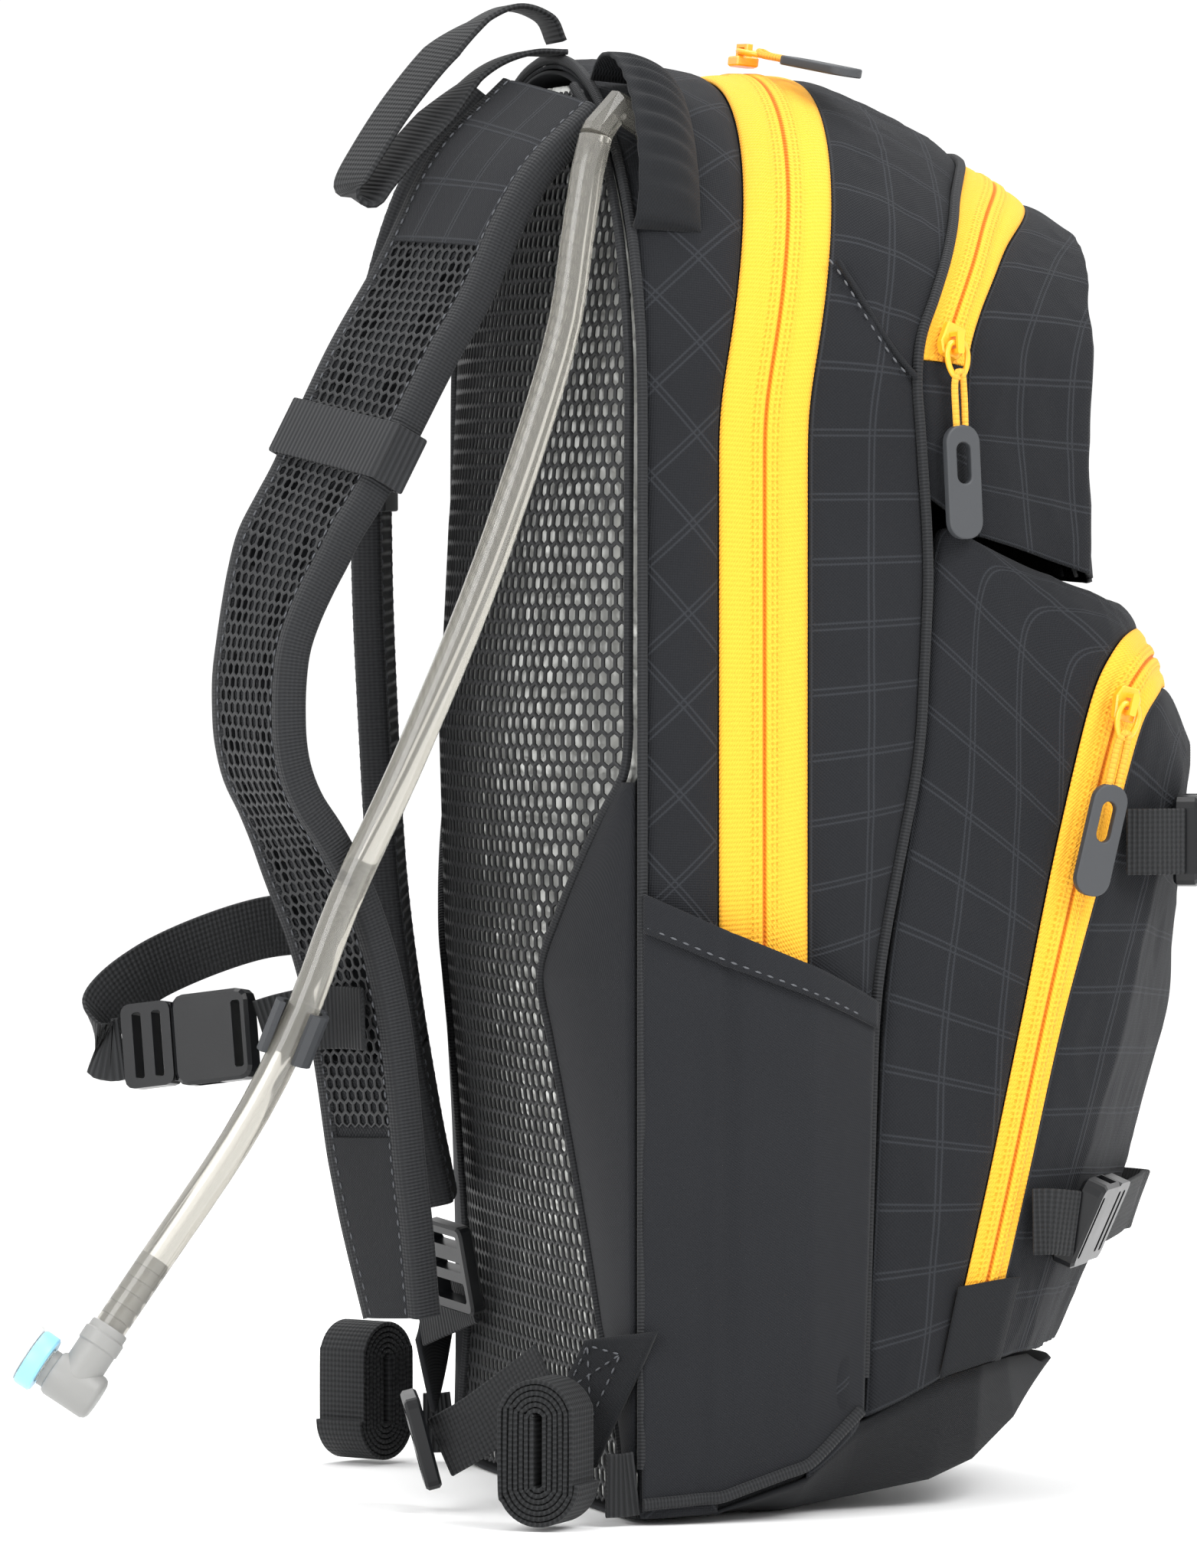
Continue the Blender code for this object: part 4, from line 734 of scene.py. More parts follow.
cloth_panel("body_lining", body_table, arch, np.linspace(0.02, 2.98, 12), canvas, (),
            puff=0.0,
            fold=0.0, lift=lambda u, v, off: -3.2 + 0 * u)
cloth_panel("front_lining", body_table, np.linspace(-0.385, 0.385, 120), np.linspace(2.9, 5.9, 24), canvas,
            (),
            fold=0.0, lift=lambda u, v, off: -3.2 + 0 * u)
cloth_panel("pocket_lining", pocket_table, arch, np.linspace(0.02, 3.95, 24), canvas, (),
            fold=0.0, lift=lambda u, v, off: -3.4 + 0 * u)

# %% [markdown]
# ### Zips
# Each zip is a band of tape with two flat lanes that cover its coil, a narrow slit between them, and turned
# edges that rise to meet the gussets.

# %% Zip bands
def zip_profile(half_lane):
    def lift(_u, _v, off):
        lane = 0.9 * np.clip((half_lane - np.abs(off)) / 0.8, 0, 1)
        slit = -1.1 * np.exp(-(off / 0.7) ** 2)
        knit_edge = 0.35 * np.clip((np.abs(off) - half_lane - 1.2) / 0.8, 0, 1)
        return lane + slit + knit_edge
    return lift


lanes = np.concatenate([np.linspace(0, 0.36, 9), np.linspace(0.38, 0.62, 25), np.linspace(0.64, 1, 9)])
cloth_panel("main_zip_band", body_table, np.linspace(-0.83, 0.83, 380), 1.004 + 0.992 * lanes, zip_tape,
            ("main_zip_tape",),
            fold=1.4, lift=zip_profile(5.2), centred=True)
cloth_panel("top_zip_band", body_table, np.linspace(-U_ZIP, U_ZIP, 260), 3.006 + 0.988 * lanes, zip_tape,
            ("top_zip_tape",), fold=1.2, lift=zip_profile(5.0), centred=True)
cloth_panel("front_zip_band", pocket_table, arch, 1.006 + 0.988 * lanes, zip_tape, ("front_zip_tape",),
            fold=1.2, lift=zip_profile(4.6), centred=True)
for side, word in ((-1, "left"), (1, "right")):
    cover_u = np.sort(side * np.linspace(0.935, 0.999, 12))
    cloth_panel("zip_end_cover_" + word, pocket_table, cover_u, np.linspace(0.9, 2.15, 30), canvas, (),
                fold=0.0, lift=lambda u, v, off: 2.6 + 0 * u)
cloth_panel("front_gusset_cloth", pocket_table, arch, np.linspace(0.02, 0.995, 24), ripstop,
            ("front_pocket_gusset",),
            puff=1.8, creases=1.8, seed=5.0)
cloth_panel("front_pocket_cloth", pocket_table, arch, np.linspace(2.005, 4, 50), ripstop,
            ("front_pocket_panel",),
            puff=1.2, creases=1.4, seed=6.0, joined=True)

# %% [markdown]
# ### Bottom and side pockets
# The bottom is one piece of plain cloth, bound where it meets the gussets. Each side pocket is stretch
# cloth with a hemmed, slanting mouth that stands a little away from the bag.


# %% Bottom
bottom_rows = np.array([(113.2, 87.4, 0.0, 88.5, 1.0), (114.6, 62, 0.0, 62, 2.4), (114.6, 33, 0.0, 33, 12.2),
                        (110.4, 14, 3.0, 12, 29.4), (107.0, -14, 8.0, -22, 43.0), (102.5, -27.5, 14.0, -40,
                                                                                   46.0),
                        (84.0, -42, 26.0, -62, 47.0), (45.0, -61, 41.0, -80.5, 45.0)])
row_places = np.linspace(0, 7, 50)
columns = np.linspace(-1, 1, 60)
bottom_points = np.zeros((50, 60, 3))
for i, spot in enumerate(row_places):
    half, depth, middle_z, middle_depth, edge_z = [np.interp(spot, range(8),
                                                             bottom_rows[:, k]) for k in range(5)]
    rise = np.clip((np.abs(columns) - 0.72) / 0.28, 0, 1) ** 1.5
    bottom_points[i, :, 0] = columns * (half - 1.2)
    bottom_points[i, :, 1] = depth + (middle_depth - depth) * (1 - columns**2)
    bottom_points[i, :, 2] = middle_z + (edge_z - middle_z) * rise
lengths = np.stack([arc_lengths(bottom_points, 0), arc_lengths(bottom_points, 1)], axis=2) * MM
bottom_mesh = grid_mesh("bottom_cloth", world_points(bottom_points), lengths)
bottom = piece("bottom_cloth", bottom_mesh, canvas, "pack", ("bottom_panel",))
solidify(bottom, 1.2, 1.0)


# %% [markdown]
# ## Side pockets
# Each side pocket is knitted stretch cloth cut as one blank, sewn in at its bottom and both upright
# edges. Its top is a folded elastic hem that gathers the cloth a little, so the mouth dips in the middle
# and stands off the bag.

# %% Side pockets
def pocket_side_points(side, vs, ts, extra=0.0):
    points = np.zeros((len(ts), len(vs), 3))
    for j, v in enumerate(vs):
        foot = np.interp(v, [0, 1, 2, 3], [4, 6, 16, 34])
        top = np.interp(v, [0, 3], [197, 162])
        for i, t in enumerate(ts):
            z = foot + (top - foot) * t
            wall = np.interp(v, [0, 1, 2, 3], [115, 115, 115, 111])
            depth = np.interp(v, range(4), [88, 62, 33, np.interp(z, *zip(*BODY_SEAMS[3][5]))])
            belly = max(0.0, math.sin(math.pi * (v - 0.02) / 2.96))
            outwards = 2.0 + 7.2 * belly**0.7 * max(t, 0.0) ** 0.8 + extra
            fold = 1.6 * math.exp(-((v - 1.05) / 0.10) ** 2) * min(1,
                    t * 2) + 0.8 * math.exp(-((v - 0.75) / 0.12) ** 2)
            points[i, j] = (side * (wall + outwards - fold), depth, z)
    return points


for side, word in ((-1, "left"), (1, "right")):
    vs, ts = np.linspace(0.02, 2.98, 60), np.linspace(0, 1, 60)
    points = pocket_side_points(side, vs, ts)
    points[..., 0] += side * wrinkle(points, 0.7, 7.0 + side, 30.0)
    lengths = np.stack([arc_lengths(points, 0), arc_lengths(points, 1)], axis=2) * MM
    mesh = grid_mesh("side_pocket_cloth_" + word, world_points(points), lengths)
    shape = bmesh.new()
    shape.from_mesh(mesh)
    if sum(f.normal.x for f in shape.faces) * side < 0:
        bmesh.ops.reverse_faces(shape, faces=shape.faces[:])
    shape.to_mesh(mesh)
    shape.free()
    made = piece("side_pocket_cloth_" + word, mesh, stretch_cloth, "pack", ("side_pocket_" + word,))
    solidify(made, 1.2)

# %% [markdown]
# ### Hems, piping and sewing
# Sewing shows as rows of short raised stitches. Each row is one mesh of small spindles laid along a seam.

# %% Sewing
def stitches(name, route, body="pack", stitch=2.4, gap=1.7, radius=0.32, metres=False, look=None):
    path = smooth_through(route if metres else [at(*p) for p in route], 400)
    run = np.concatenate([[0], np.cumsum([(q - p).length for p, q in zip(path, path[1:])])]) / MM
    places = np.array([tuple(p) for p in path])
    points, faces = [], []
    for start in np.arange(0.5, run[-1] - stitch, stitch + gap):
        a, b = (Vector([np.interp(d, run, places[:, k]) for k in range(3)]) for d in (start, start + stitch))
        along = (b - a).normalized()
        side = along.orthogonal().normalized()
        up = along.cross(side)
        first = len(points)
        points.append(tuple(a))
        for share in (0.3, 0.7):
            for k in range(6):
                turn = math.pi * k / 3
                outward = side * math.cos(turn) + up * math.sin(turn)
                points.append(tuple(a.lerp(b, share) + outward * radius * MM))
        points.append(tuple(b))
        for k in range(6):
            n = (k + 1) % 6
            faces += [(first, first + 1 + n, first + 1 + k), (first + 13, first + 7 + k, first + 7 + n),
                      (first + 1 + k, first + 1 + n, first + 7 + n, first + 7 + k)]
    mesh = bpy.data.meshes.new(name)
    mesh.from_pydata(points, [], faces)
    return piece(name, mesh, look or thread, body)


def on_bag(table, us, vs, lift=0.0):
    """World points on the bag's surface at pairs of path and seam values, raised by lift mm."""
    u, v = np.array(us, float), np.array(vs, float)
    spot = on_table(table, u, v)
    along = on_table(table, np.clip(u + 0.004, -1, 1), v) - on_table(table, np.clip(u - 0.004, -1, 1), v)
    across = on_table(table, u, np.clip(v + 0.03, 0, len(table) - 1.001)) - on_table(table, u,
            np.clip(v - 0.03, 0, 9))
    normal = np.cross(along, across)
    normal /= np.linalg.norm(normal, axis=1, keepdims=True)
    normal *= np.sign(((spot - BODY_CENTRE) * normal).sum(axis=1, keepdims=True))
    return [Vector(p) for p in world_points(spot + normal * lift)]


for side, word in ((-1, "left"), (1, "right")):
    vs = np.linspace(0.02, 2.98, 50)
    band = pocket_side_points(side, vs, np.linspace(0.94, 1.003, 8), 1.1)
    lengths = np.stack([arc_lengths(band, 1), arc_lengths(band, 0)], axis=2) * MM
    mesh = grid_mesh("pocket_hem_" + word, world_points(band), lengths)
    hem = solidify(piece("pocket_hem_" + word, mesh, stretch_cloth, "pack", ()), 1.6,
                   0.0)
    row = world_points(pocket_side_points(side, vs[::5], [0.95], 2.0))[0]
    stitches("pocket_hem_stitches_" + word, [Vector(p) for p in row], metres=True)
    foot = world_points(pocket_side_points(side, vs[::4], [0.012], 1.0))[0]
    swept("pocket_piping_" + word, [Vector(p) for p in foot], lambda share: round_section(1.9), (0, 0, 1), 60,
          binding, "pack", metres=True)
seam_u, seam_v = np.linspace(-0.2475, -0.310, 9), np.linspace(2.04, 2.96, 9)
seam_run = on_bag(body_table, seam_u, seam_v, 2.3)
swept("gusset_seam", seam_run, lambda share: round_section(0.9, 8), (0, 0, 1), 40, canvas, "pack",
      metres=True)
stitches("gusset_seam_stitches", on_bag(body_table, seam_u, seam_v - 0.09, 3.0), metres=True)
edge_u = np.linspace(-0.97, 0.97, 60)
for name, table, v, lift in (("back_edge_piping", body_table, 0.03, 0.6),
                             ("mid_piping", body_table, 2.99, 0.2)):
    swept(name, on_bag(table, edge_u, np.full(60, v), lift), lambda share: round_section(1.7, 10),
          (0, 1, 0), 360,
          binding, "pack", metres=True)

# %% [markdown]
# ## The back panel
# The wearer's side bulges. Open black net lies over crumpled metal film that keeps the water cool. The
# net is drawn as real cells, 5.7 mm wide, so the film shows through. Plain padded wings sit at each side
# of the waist.

# %% Back panel
def back_half_width(z):
    if z < 350:
        return 112.5
    return 17 + 95.5 * math.sqrt(max(0.0, 1 - ((z - 350) / 107) ** 2))


def back_depth(x, z):
    swell = np.interp(z, [0, 44, 99, 174, 249, 312, 400, 460], [0.5, 3, 12, 23, 26, 21, 9, 0])
    return 89 + swell * (1 - min(1, abs(x) / max(back_half_width(z), 60)) ** 2.2)


def mesh_half_width(z):
    return min(np.interp(z, [6, 20, 60, 170, 237], [104, 103, 85, 61, 111]), back_half_width(z) - 1.5)


def net_panel(name, spot, low, high, look, body, replaces=(), keep=None, radius=3.3, strand=0.62,
              thick=0.9):
    """An open net of six-sided cells, each a ring of cloth, laid on the surface that spot(a, b) gives."""
    wide, tall = math.sqrt(3) * radius, 1.5 * radius
    turns = np.radians(np.arange(6) * 60 + 30)
    ring = np.stack([np.cos(turns), np.sin(turns)], axis=1)
    points, faces = [], []
    for row in range(int((high[1] - low[1]) / tall)):
        for column in range(int((high[0] - low[0]) / wide)):
            centre = np.array([low[0] + wide * (column + 0.5 + 0.5 * (row % 2)), low[1] + tall * (row + 0.6)])
            if keep and not keep(*centre):
                continue
            first = len(points)
            for r in (radius, radius - strand):
                points += [tuple(spot(*(centre + ring[k] * r))) for k in range(6)]
            faces += [(first + k, first + (k + 1) % 6, first + 6 + (k + 1) % 6,
                       first + 6 + k) for k in range(6)]
    mesh = bpy.data.meshes.new(name)
    mesh.from_pydata(points, [], faces)
    shape = bmesh.new()
    shape.from_mesh(mesh)
    bmesh.ops.remove_doubles(shape, verts=shape.verts, dist=2e-5)
    shape.to_mesh(mesh)
    shape.free()
    return solidify(piece(name, mesh, look, body, replaces), thick, 0.0)


back_net = net_panel("back_net", lambda x, z: at(x, back_depth(x, z) - 0.4, z), (-112, 4), (112, 454), net,
                     "pack",
                     ("back_mesh",), keep=lambda x, z: abs(x) < mesh_half_width(z) - 2)
film_points = np.zeros((230, 110, 3))
for i, z in enumerate(np.linspace(4, 453, 230)):
    for j, across in enumerate(np.linspace(-1, 1, 110)):
        x = across * mesh_half_width(z)
        p = Vector((x, z, 0)) / 17
        fold = 1 - 2 * abs(noise.noise(p)) + 0.6 * (1 - 2 * abs(noise.noise(p * 2.3)))
        film_points[i, j] = (x, back_depth(x, z) - 5.4 + 1.3 * fold, z)
lengths = np.stack([arc_lengths(film_points, 0), arc_lengths(film_points, 1)], axis=2) * MM
film = piece("crumpled_film", grid_mesh("crumpled_film", world_points(film_points), lengths), foil, "pack",
             ("insulating_film",), 30)
solidify(film, 0.3, 0.0)
for side, word in ((-1, "left"), (1, "right")):
    zs, shares = np.linspace(4, 232, 60), np.linspace(0, 1, 16)
    def wing_width(z, t):
        return mesh_half_width(z) + (back_half_width(z) - mesh_half_width(z)) * t

    wing_points = np.array([[(side * (wing_width(z, t) - 0.5), back_depth(wing_width(z, t), z) - 0.6
                              + 1.8 * math.sin(math.pi * t) ** 0.6, z) for t in shares] for z in zs])
    lengths = np.stack([arc_lengths(wing_points, 0), arc_lengths(wing_points, 1)], axis=2) * MM
    mesh = grid_mesh("back_wing_" + word, world_points(wing_points), lengths)
    wing = piece("back_wing_" + word, mesh, stretch_cloth, "pack", ("lumbar_wing_" + word,))
    solidify(wing, 1.6, 0.0)
    edge = [at(side * (mesh_half_width(z) - 0.5), back_depth(mesh_half_width(z), z) + 0.7, z)
            for z in np.linspace(5, 452, 40)]
    swept("net_edge_" + word, edge, lambda share: round_section(1.6, 10), (0, 1, 0), 160, binding, "pack",
          metres=True)


# %% [markdown]
# ## Shoulder straps
# Each strap is a foam pad with oval air holes, covered by net on both faces and bound along its edges with
# grosgrain. Its top is covered with ripstop. An elastic keeper holds the spare webbing and the tube.

# %% Shoulder straps
PAD_THICK = 8.0
STRAPS = {
    "left": ([(-47, 97, 447), (-48, 120, 424), (-51, 139, 388), (-54, 153, 365), (-55, 171, 330),
              (-55, 185, 305),
              (-55, 194, 277), (-55, 196, 254), (-54, 193, 234), (-53, 182, 212), (-52, 171, 187), (-52,
                      164, 162),
              (-52, 160, 136), (-52, 157, 111), (-52, 153, 86), (-52, 149, 62)],
             [66, 66, 64, 62, 60, 58, 54, 52, 50, 48, 46, 45, 44, 42, 38, 30],
             [(0.97, 0.25, 0.1)] * 3 + [(0.93, 0.36, 0)] * 4 + [(0.97, 0.2, 0)] * 3 + [(0.93, 0.36,
                                                                                        0)] * 6, 0.318),
    "right": ([(50, 97, 447), (51, 116, 424), (52, 128, 390), (52, 133, 355), (52, 133, 300), (52, 131, 250),
               (52, 128, 200), (52, 123, 160), (52, 116, 120), (52, 110, 92)],
              [66, 66, 64, 62, 58, 54, 50, 47, 42, 32], [(0.95, -0.30, 0)] * 10, 0.36),
}


def oval_cutters(frames, shares, width_at):
    """One mesh of oval plugs, in pairs across the strap, for cutting its air holes."""
    points, faces = [], []
    for share in shares:
        centre, side, face = frames[int(share * (len(frames) - 1))]
        along = side.cross(face)
        for offset in (-0.23, 0.23):
            first = len(points)
            middle = centre + side * offset * width_at(share) * MM
            for depth in (-9, 9):
                for k in range(16):
                    turn = math.pi * k / 8
                    points.append(tuple(middle + (side * 4.6 * math.cos(turn) + along * 7.0 * math.sin(turn)
                                                  + face * depth) * MM))
            faces += [tuple(first + k for k in range(15, -1, -1)), tuple(first + 16 + k for k in range(16))]
            faces += [(first + k, first + (k + 1) % 16, first + 16 + (k + 1) % 16,
                       first + 16 + k) for k in range(16)]
    mesh = bpy.data.meshes.new("strap_holes")
    mesh.from_pydata(points, [], faces)
    shape = bmesh.new()
    shape.from_mesh(mesh)
    bmesh.ops.recalc_face_normals(shape, faces=shape.faces)
    shape.to_mesh(mesh)
    shape.free()
    cutter = bpy.data.objects.new("strap_holes", mesh)
    scene.collection.objects.link(cutter)
    return cutter


def bake(obj):
    """Puts the result of an object's modifiers in its own mesh."""
    bpy.context.view_layer.update()
    evaluated = obj.evaluated_get(bpy.context.evaluated_depsgraph_get())
    obj.modifiers.clear()
    old, obj.data = obj.data, bpy.data.meshes.new_from_object(evaluated)
    bpy.data.meshes.remove(old)


for word, (route, widths, turns, keeper_share) in STRAPS.items():
    frames = frames_along(route, turns, 160)
    total = sum((q[0] - p[0]).length for p, q in zip(frames, frames[1:])) / MM
    width_at = lambda share, w=widths: interpolated(share, w)
    pad = swept("strap_pad_" + word, route, lambda share: soft_section(width_at(share) - 3, PAD_THICK, 28),
                turns, 160,
                foam_cloth, "pack", ("shoulder_strap_" + word,))
    cutter = oval_cutters(frames, np.arange(0.17, 0.80, 20.0 / total), width_at)
    cut = pad.modifiers.new("air_holes", "BOOLEAN")
    cut.object = cutter
    cut.solver = "EXACT"
    bake(pad)
    bpy.data.objects.remove(cutter)
    for face_sign, face_word in ((1, "outer"), (-1, "inner")):
        def spot(a, b, sign=face_sign):
            spot_share = min(max(b / total, 0), 1) * (len(frames) - 1)
            low = min(int(spot_share), len(frames) - 2)
            part = spot_share - low
            centre = frames[low][0].lerp(frames[low + 1][0], part)
            side, face = frames[low][1], frames[low][2]
            return centre + (side * a + face * sign * (PAD_THICK / 2 + 0.5)) * MM
        half = 31
        net_panel(f"strap_net_{word}_{face_word}", spot, (-half, 0.12 * total), (half, 0.86 * total), net,
                  "pack",
                  keep=lambda a, b: abs(a) < width_at(b / total) / 2 - 5, radius=2.6, strand=0.6, thick=0.6)
    for edge_sign in (-1, 1):
        edge = [c + s * edge_sign * (width_at(k / 160) / 2 - 2.6) * MM for k,
                (c, s, f) in enumerate(frames)][::4]
        sides = [s for c, s, f in frames][::4]
        swept(f"strap_binding_{word}_{edge_sign}", edge,
              lambda share: soft_section(8.0, PAD_THICK + 2.0, 16), sides,
              160, binding, "pack", metres=True)
        for face_sign in (-1, 1):
            row = [c + (s * edge_sign * (width_at(k / 160) / 2 - 5.3)
                        + f * face_sign * (PAD_THICK / 2 + 1.0)) * MM
                   for k, (c, s, f) in enumerate(frames)][::5]
            stitches(f"strap_stitches_{word}_{edge_sign}_{face_sign}", row, metres=True)
    swept("strap_cover_" + word, route, lambda share: soft_section(width_at(share) + 1.4, PAD_THICK + 3.2,
                                                                   28), turns,
          160, ripstop, "pack", span=(0.0, 0.145))
    swept("strap_end_" + word, route, lambda share: soft_section(width_at(share) + 1.0, PAD_THICK + 2.6,
                                                                 28), turns,
          160, canvas, "pack", span=(0.86, 1.0))
    centre, side, face = frames[int(keeper_share * 160)]
    a, b = 31.5 if word == "left" else 32.5, PAD_THICK / 2 + 2.2
    along = side.cross(face)
    loop = [(0, b), (a - 2, b), (a, b - 1.5), (a, -b + 1.5), (a - 2, -b), (0, -b), (-a + 2, -b),
            (-a, -b + 1.5),
            (-a, b - 1.5), (-a + 2, b), (-4, b), (0, b)]
    swept("strap_keeper_" + word, [centre + (side * x + face * y) * MM for x, y in loop],
          lambda share: flat_section(19, 1.4), along, 90, elastic, "pack", ("keeper_" + word,),
          metres=True)

# %% [markdown]
# ## Webbing
# Webbing is 20 mm wide and 1.5 mm thick. The spare length of the waist belt is rolled up tight at each
# side, and the haul loop is a heavier 22 mm ribbon folded back on itself. Straps that pull out with a
# buckle bend between their sewn end and the buckle's plug.

# %% Webbing pieces
def ribbon(name, route, across, steps=80, body="pack", replaces=(), width=20.0, thick=1.5, metres=False):
    return swept(name, route, lambda share: flat_section(width, thick), across, steps, webbing, body,
                 replaces,
                 metres=metres)


ribbon("lower_webbing_left_cloth", [(-55, 137, 20), (-68, 128, 28), (-81, 117.5, 39), (-90.5, 111.5, 46.5)],
       [(0.35, 0.35, 0.87), (0.3, 0.3, 0.9), (0.1, 0.1, 0.99), (0, 0, 1)], replaces=("lower_webbing_left",))
ribbon("lower_webbing_right_cloth", [(57, 99.2, 60), (70, 100.5, 57), (83, 104, 53), (93, 106.5, 50)],
       [(-0.2, 0.2, 0.95), (-0.1, 0.1, 0.99), (0, 0, 1), (0, 0, 1)], replaces=("lower_webbing_right",))
ribbon("haul_loop_cloth", [(-10, 86, 463.9), (-10, 98, 463.5), (-11, 112, 457.5), (-14, 130, 441),
                           (-17, 146, 424),
                           (-18.5, 153, 416.5), (-18.5, 157.5, 420), (-17, 151, 432), (-14, 138, 450),
                           (-11, 122, 467), (-9, 104, 478), (-8, 91, 475.5), (-8, 86.5, 467.5)],
       [(1, 0, 0)] * 3 + [(1, 0.15, 0.25)] * 7 + [(1, 0, 0)] * 3, 160, "haul_loop", ("haul_loop",), 22.0, 1.8)
ribbon("sternum_webbing_left_cloth", [(-68.3, 165.5, 157), (-56, 170.5, 157), (-50.5, 177, 156.5),
                                      (-47, 186, 154.5),
                                      (-45.2, 192.8, 152.4)], (0, 0.05,
                                                               1), 60, replaces=("sternum_webbing_left",))
chest = ribbon("sternum_webbing_right_cloth", [(-14.9, 231.2, 145.9), (-12.4, 234.3, 145.4),
                                               (-8.5, 237.5, 147.5),
                                               (-1.5, 233.5, 158), (7, 214, 171), (22, 178, 182), (38, 146,
                                                                                                   183),
                                               (46, 135.5, 180)],
               [(0.16, 0.04, 0.98)] * 2 + [(0, 0, 1)] * 6, 120, None, ("sternum_webbing_right",))
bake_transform(chest)
FRONT_STRAPS = {
    "upper": ([(-63, -114.5, 212), (-47, -119, 212), (-18, -128, 212), (0, -130.5, 212), (45, -114, 212),
               (86, -98.5, 212), (101, -88, 212), (108.6, -74, 212)], (0, 0, 1),
              [(-107.8, -74, 212), (-108, -83, 212), (-105.3, -93.8, 212)], (0, 0, 1)),
    "lower": ([(-64.4, -81.4, 91), (-48, -91, 91.5), (-18, -105, 92), (0, -109.5, 92), (45, -88, 92),
               (86, -67.5, 92), (101, -57, 92), (108.6, -43, 92)], (0.1, -0.38, 0.92),
              [(-107.8, -43, 92), (-108.3, -49, 92), (-105.3, -58, 91)], (0, -0.25, 1)),
}
for word, (run, across, tab_run, tab_across) in FRONT_STRAPS.items():
    strap = ribbon(f"{word}_strap_cloth", run, across, 140, None, (f"{word}_strap",))
    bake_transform(strap)
    ribbon(f"{word}_tab_cloth", tab_run, tab_across, 24, replaces=(f"{word}_strap_tab",), width=21.0)
for side, word in ((-1, "left"), (1, "right")):
    ribbon(f"waist_webbing_{word}_cloth", [(side * 116.2, 89.5, 13), (side * 116.8, 94, 12.5),
                                           (side * 118, 99.5, 12.5)], (0, 0, 1), 20,
           replaces=("waist_webbing_" + word,))
    place = frame_from(at(side * 119, 119, 24.5), (0, 0, 1), (side * 0.82, 0.57, 0))
    roll_route = []
    for turn in np.linspace(0.15, 6.75, 170):
        radius, angle = 1.2 + 1.78 * turn, 2 * math.pi * turn
        stretch = 10.0 if math.cos(angle) >= 0 else -10.0
        roll_route.append(place @ (Vector((stretch + radius * math.cos(angle), radius * math.sin(angle),
                                           0)) * MM))
    roll_across = place.to_3x3() @ Vector((0, 0, 1))
    ribbon(f"waist_roll_{word}_cloth", roll_route, roll_across, 420, replaces=("waist_roll_" + word,),
           thick=1.5,
           metres=True)
    base_high, base_low, tip = at(side * 113.5, 92, 64), at(side * 113.5, 92, 14), at(side * 98, 105, 50)
    middle = (base_high + base_low) / 2
    wing_place = frame_from(middle, tip - middle, Vector((side * 0.8, 1, 0)))
    reach = (tip - middle).length / MM - 1
    grid = np.array([[tuple(wing_place @ (Vector((reach * t, s * (25 + (8.5 - 25) * t),
                                                  0.4 * math.sin(3 * s))) * MM))
                      for s in np.linspace(-1, 1, 20)] for t in np.linspace(0, 1, 14)])
    lengths = np.stack([arc_lengths(grid, 0), arc_lengths(grid, 1)], axis=2)
    tab = piece("wing_tab_cloth_" + word, grid_mesh("wing_tab_cloth_" + word, grid, lengths), canvas, "pack",
                ("wing_tab_" + word,))
    solidify(tab, 2.0, 0.0)
    box = [(reach * 0.35, -12), (reach * 0.9, -8), (reach * 0.9, 8), (reach * 0.35, 12), (reach * 0.35, -12),
           (reach * 0.9, 8), (reach * 0.9, -8), (reach * 0.35, 12)]
    for k, (p, q) in enumerate(zip(box, box[1:])):
        ends = [wing_place @ (Vector((*p, 1.5)) * MM), wing_place @ (Vector((*q, 1.5)) * MM)]
        stitches(f"wing_box_{word}_{k}", [ends[0], ends[0].lerp(ends[1], 0.5), ends[1]], metres=True)

# %% [markdown]
# ## The hose hood
# A gathered hood of plain cloth covers the hole where the tube comes out, so rain runs off it.

# %% Hose hood
HOOD_MIDDLE, HOOD_REACH, HOOD_DEPTH = -0.172, 0.062, 0.62


def hood_rise(u, v, _off):
    hump = np.clip(1 - ((u - HOOD_MIDDLE) / HOOD_REACH) ** 2, 0, 1) ** 0.5
    back = np.clip(1 - (v / HOOD_DEPTH) ** 2.4, 0, 1) ** 0.6
    gathers = 1.1 * np.sin(u * 560) * np.clip(v * 6, 0, 1) * np.clip((HOOD_DEPTH - v) * 6, 0, 1)
    return 2.2 + (20.5 + gathers) * hump * back


cloth_panel("hose_hood_cloth", body_table, np.linspace(HOOD_MIDDLE - HOOD_REACH, HOOD_MIDDLE + HOOD_REACH,
                                                       70),
            np.linspace(0.03, HOOD_DEPTH, 44), canvas, ("tube_port",), fold=0.0,
            lift=hood_rise)

# %% [markdown]
# ## Zip pulls
# Each slider carries a painted zinc ring. A yellow cord is looped through it, and its ends are moulded
# into a rubber tab with an oblong hole.

# %% Zip pulls
TAB_CENTRE = 44.0


def rounded_outline(length, width, radius, centre, steps=8):
    outline = []
    for k, (sx, sy) in enumerate(((1, 1), (-1, 1), (-1, -1), (1, -1))):
        for turn in np.linspace(0, math.pi / 2, steps):
            angle = turn + k * math.pi / 2
            outline.append((centre + sx * (length / 2 - radius) + radius * math.cos(angle),
                            sy * (width / 2 - radius) + radius * math.sin(angle)))
    return outline


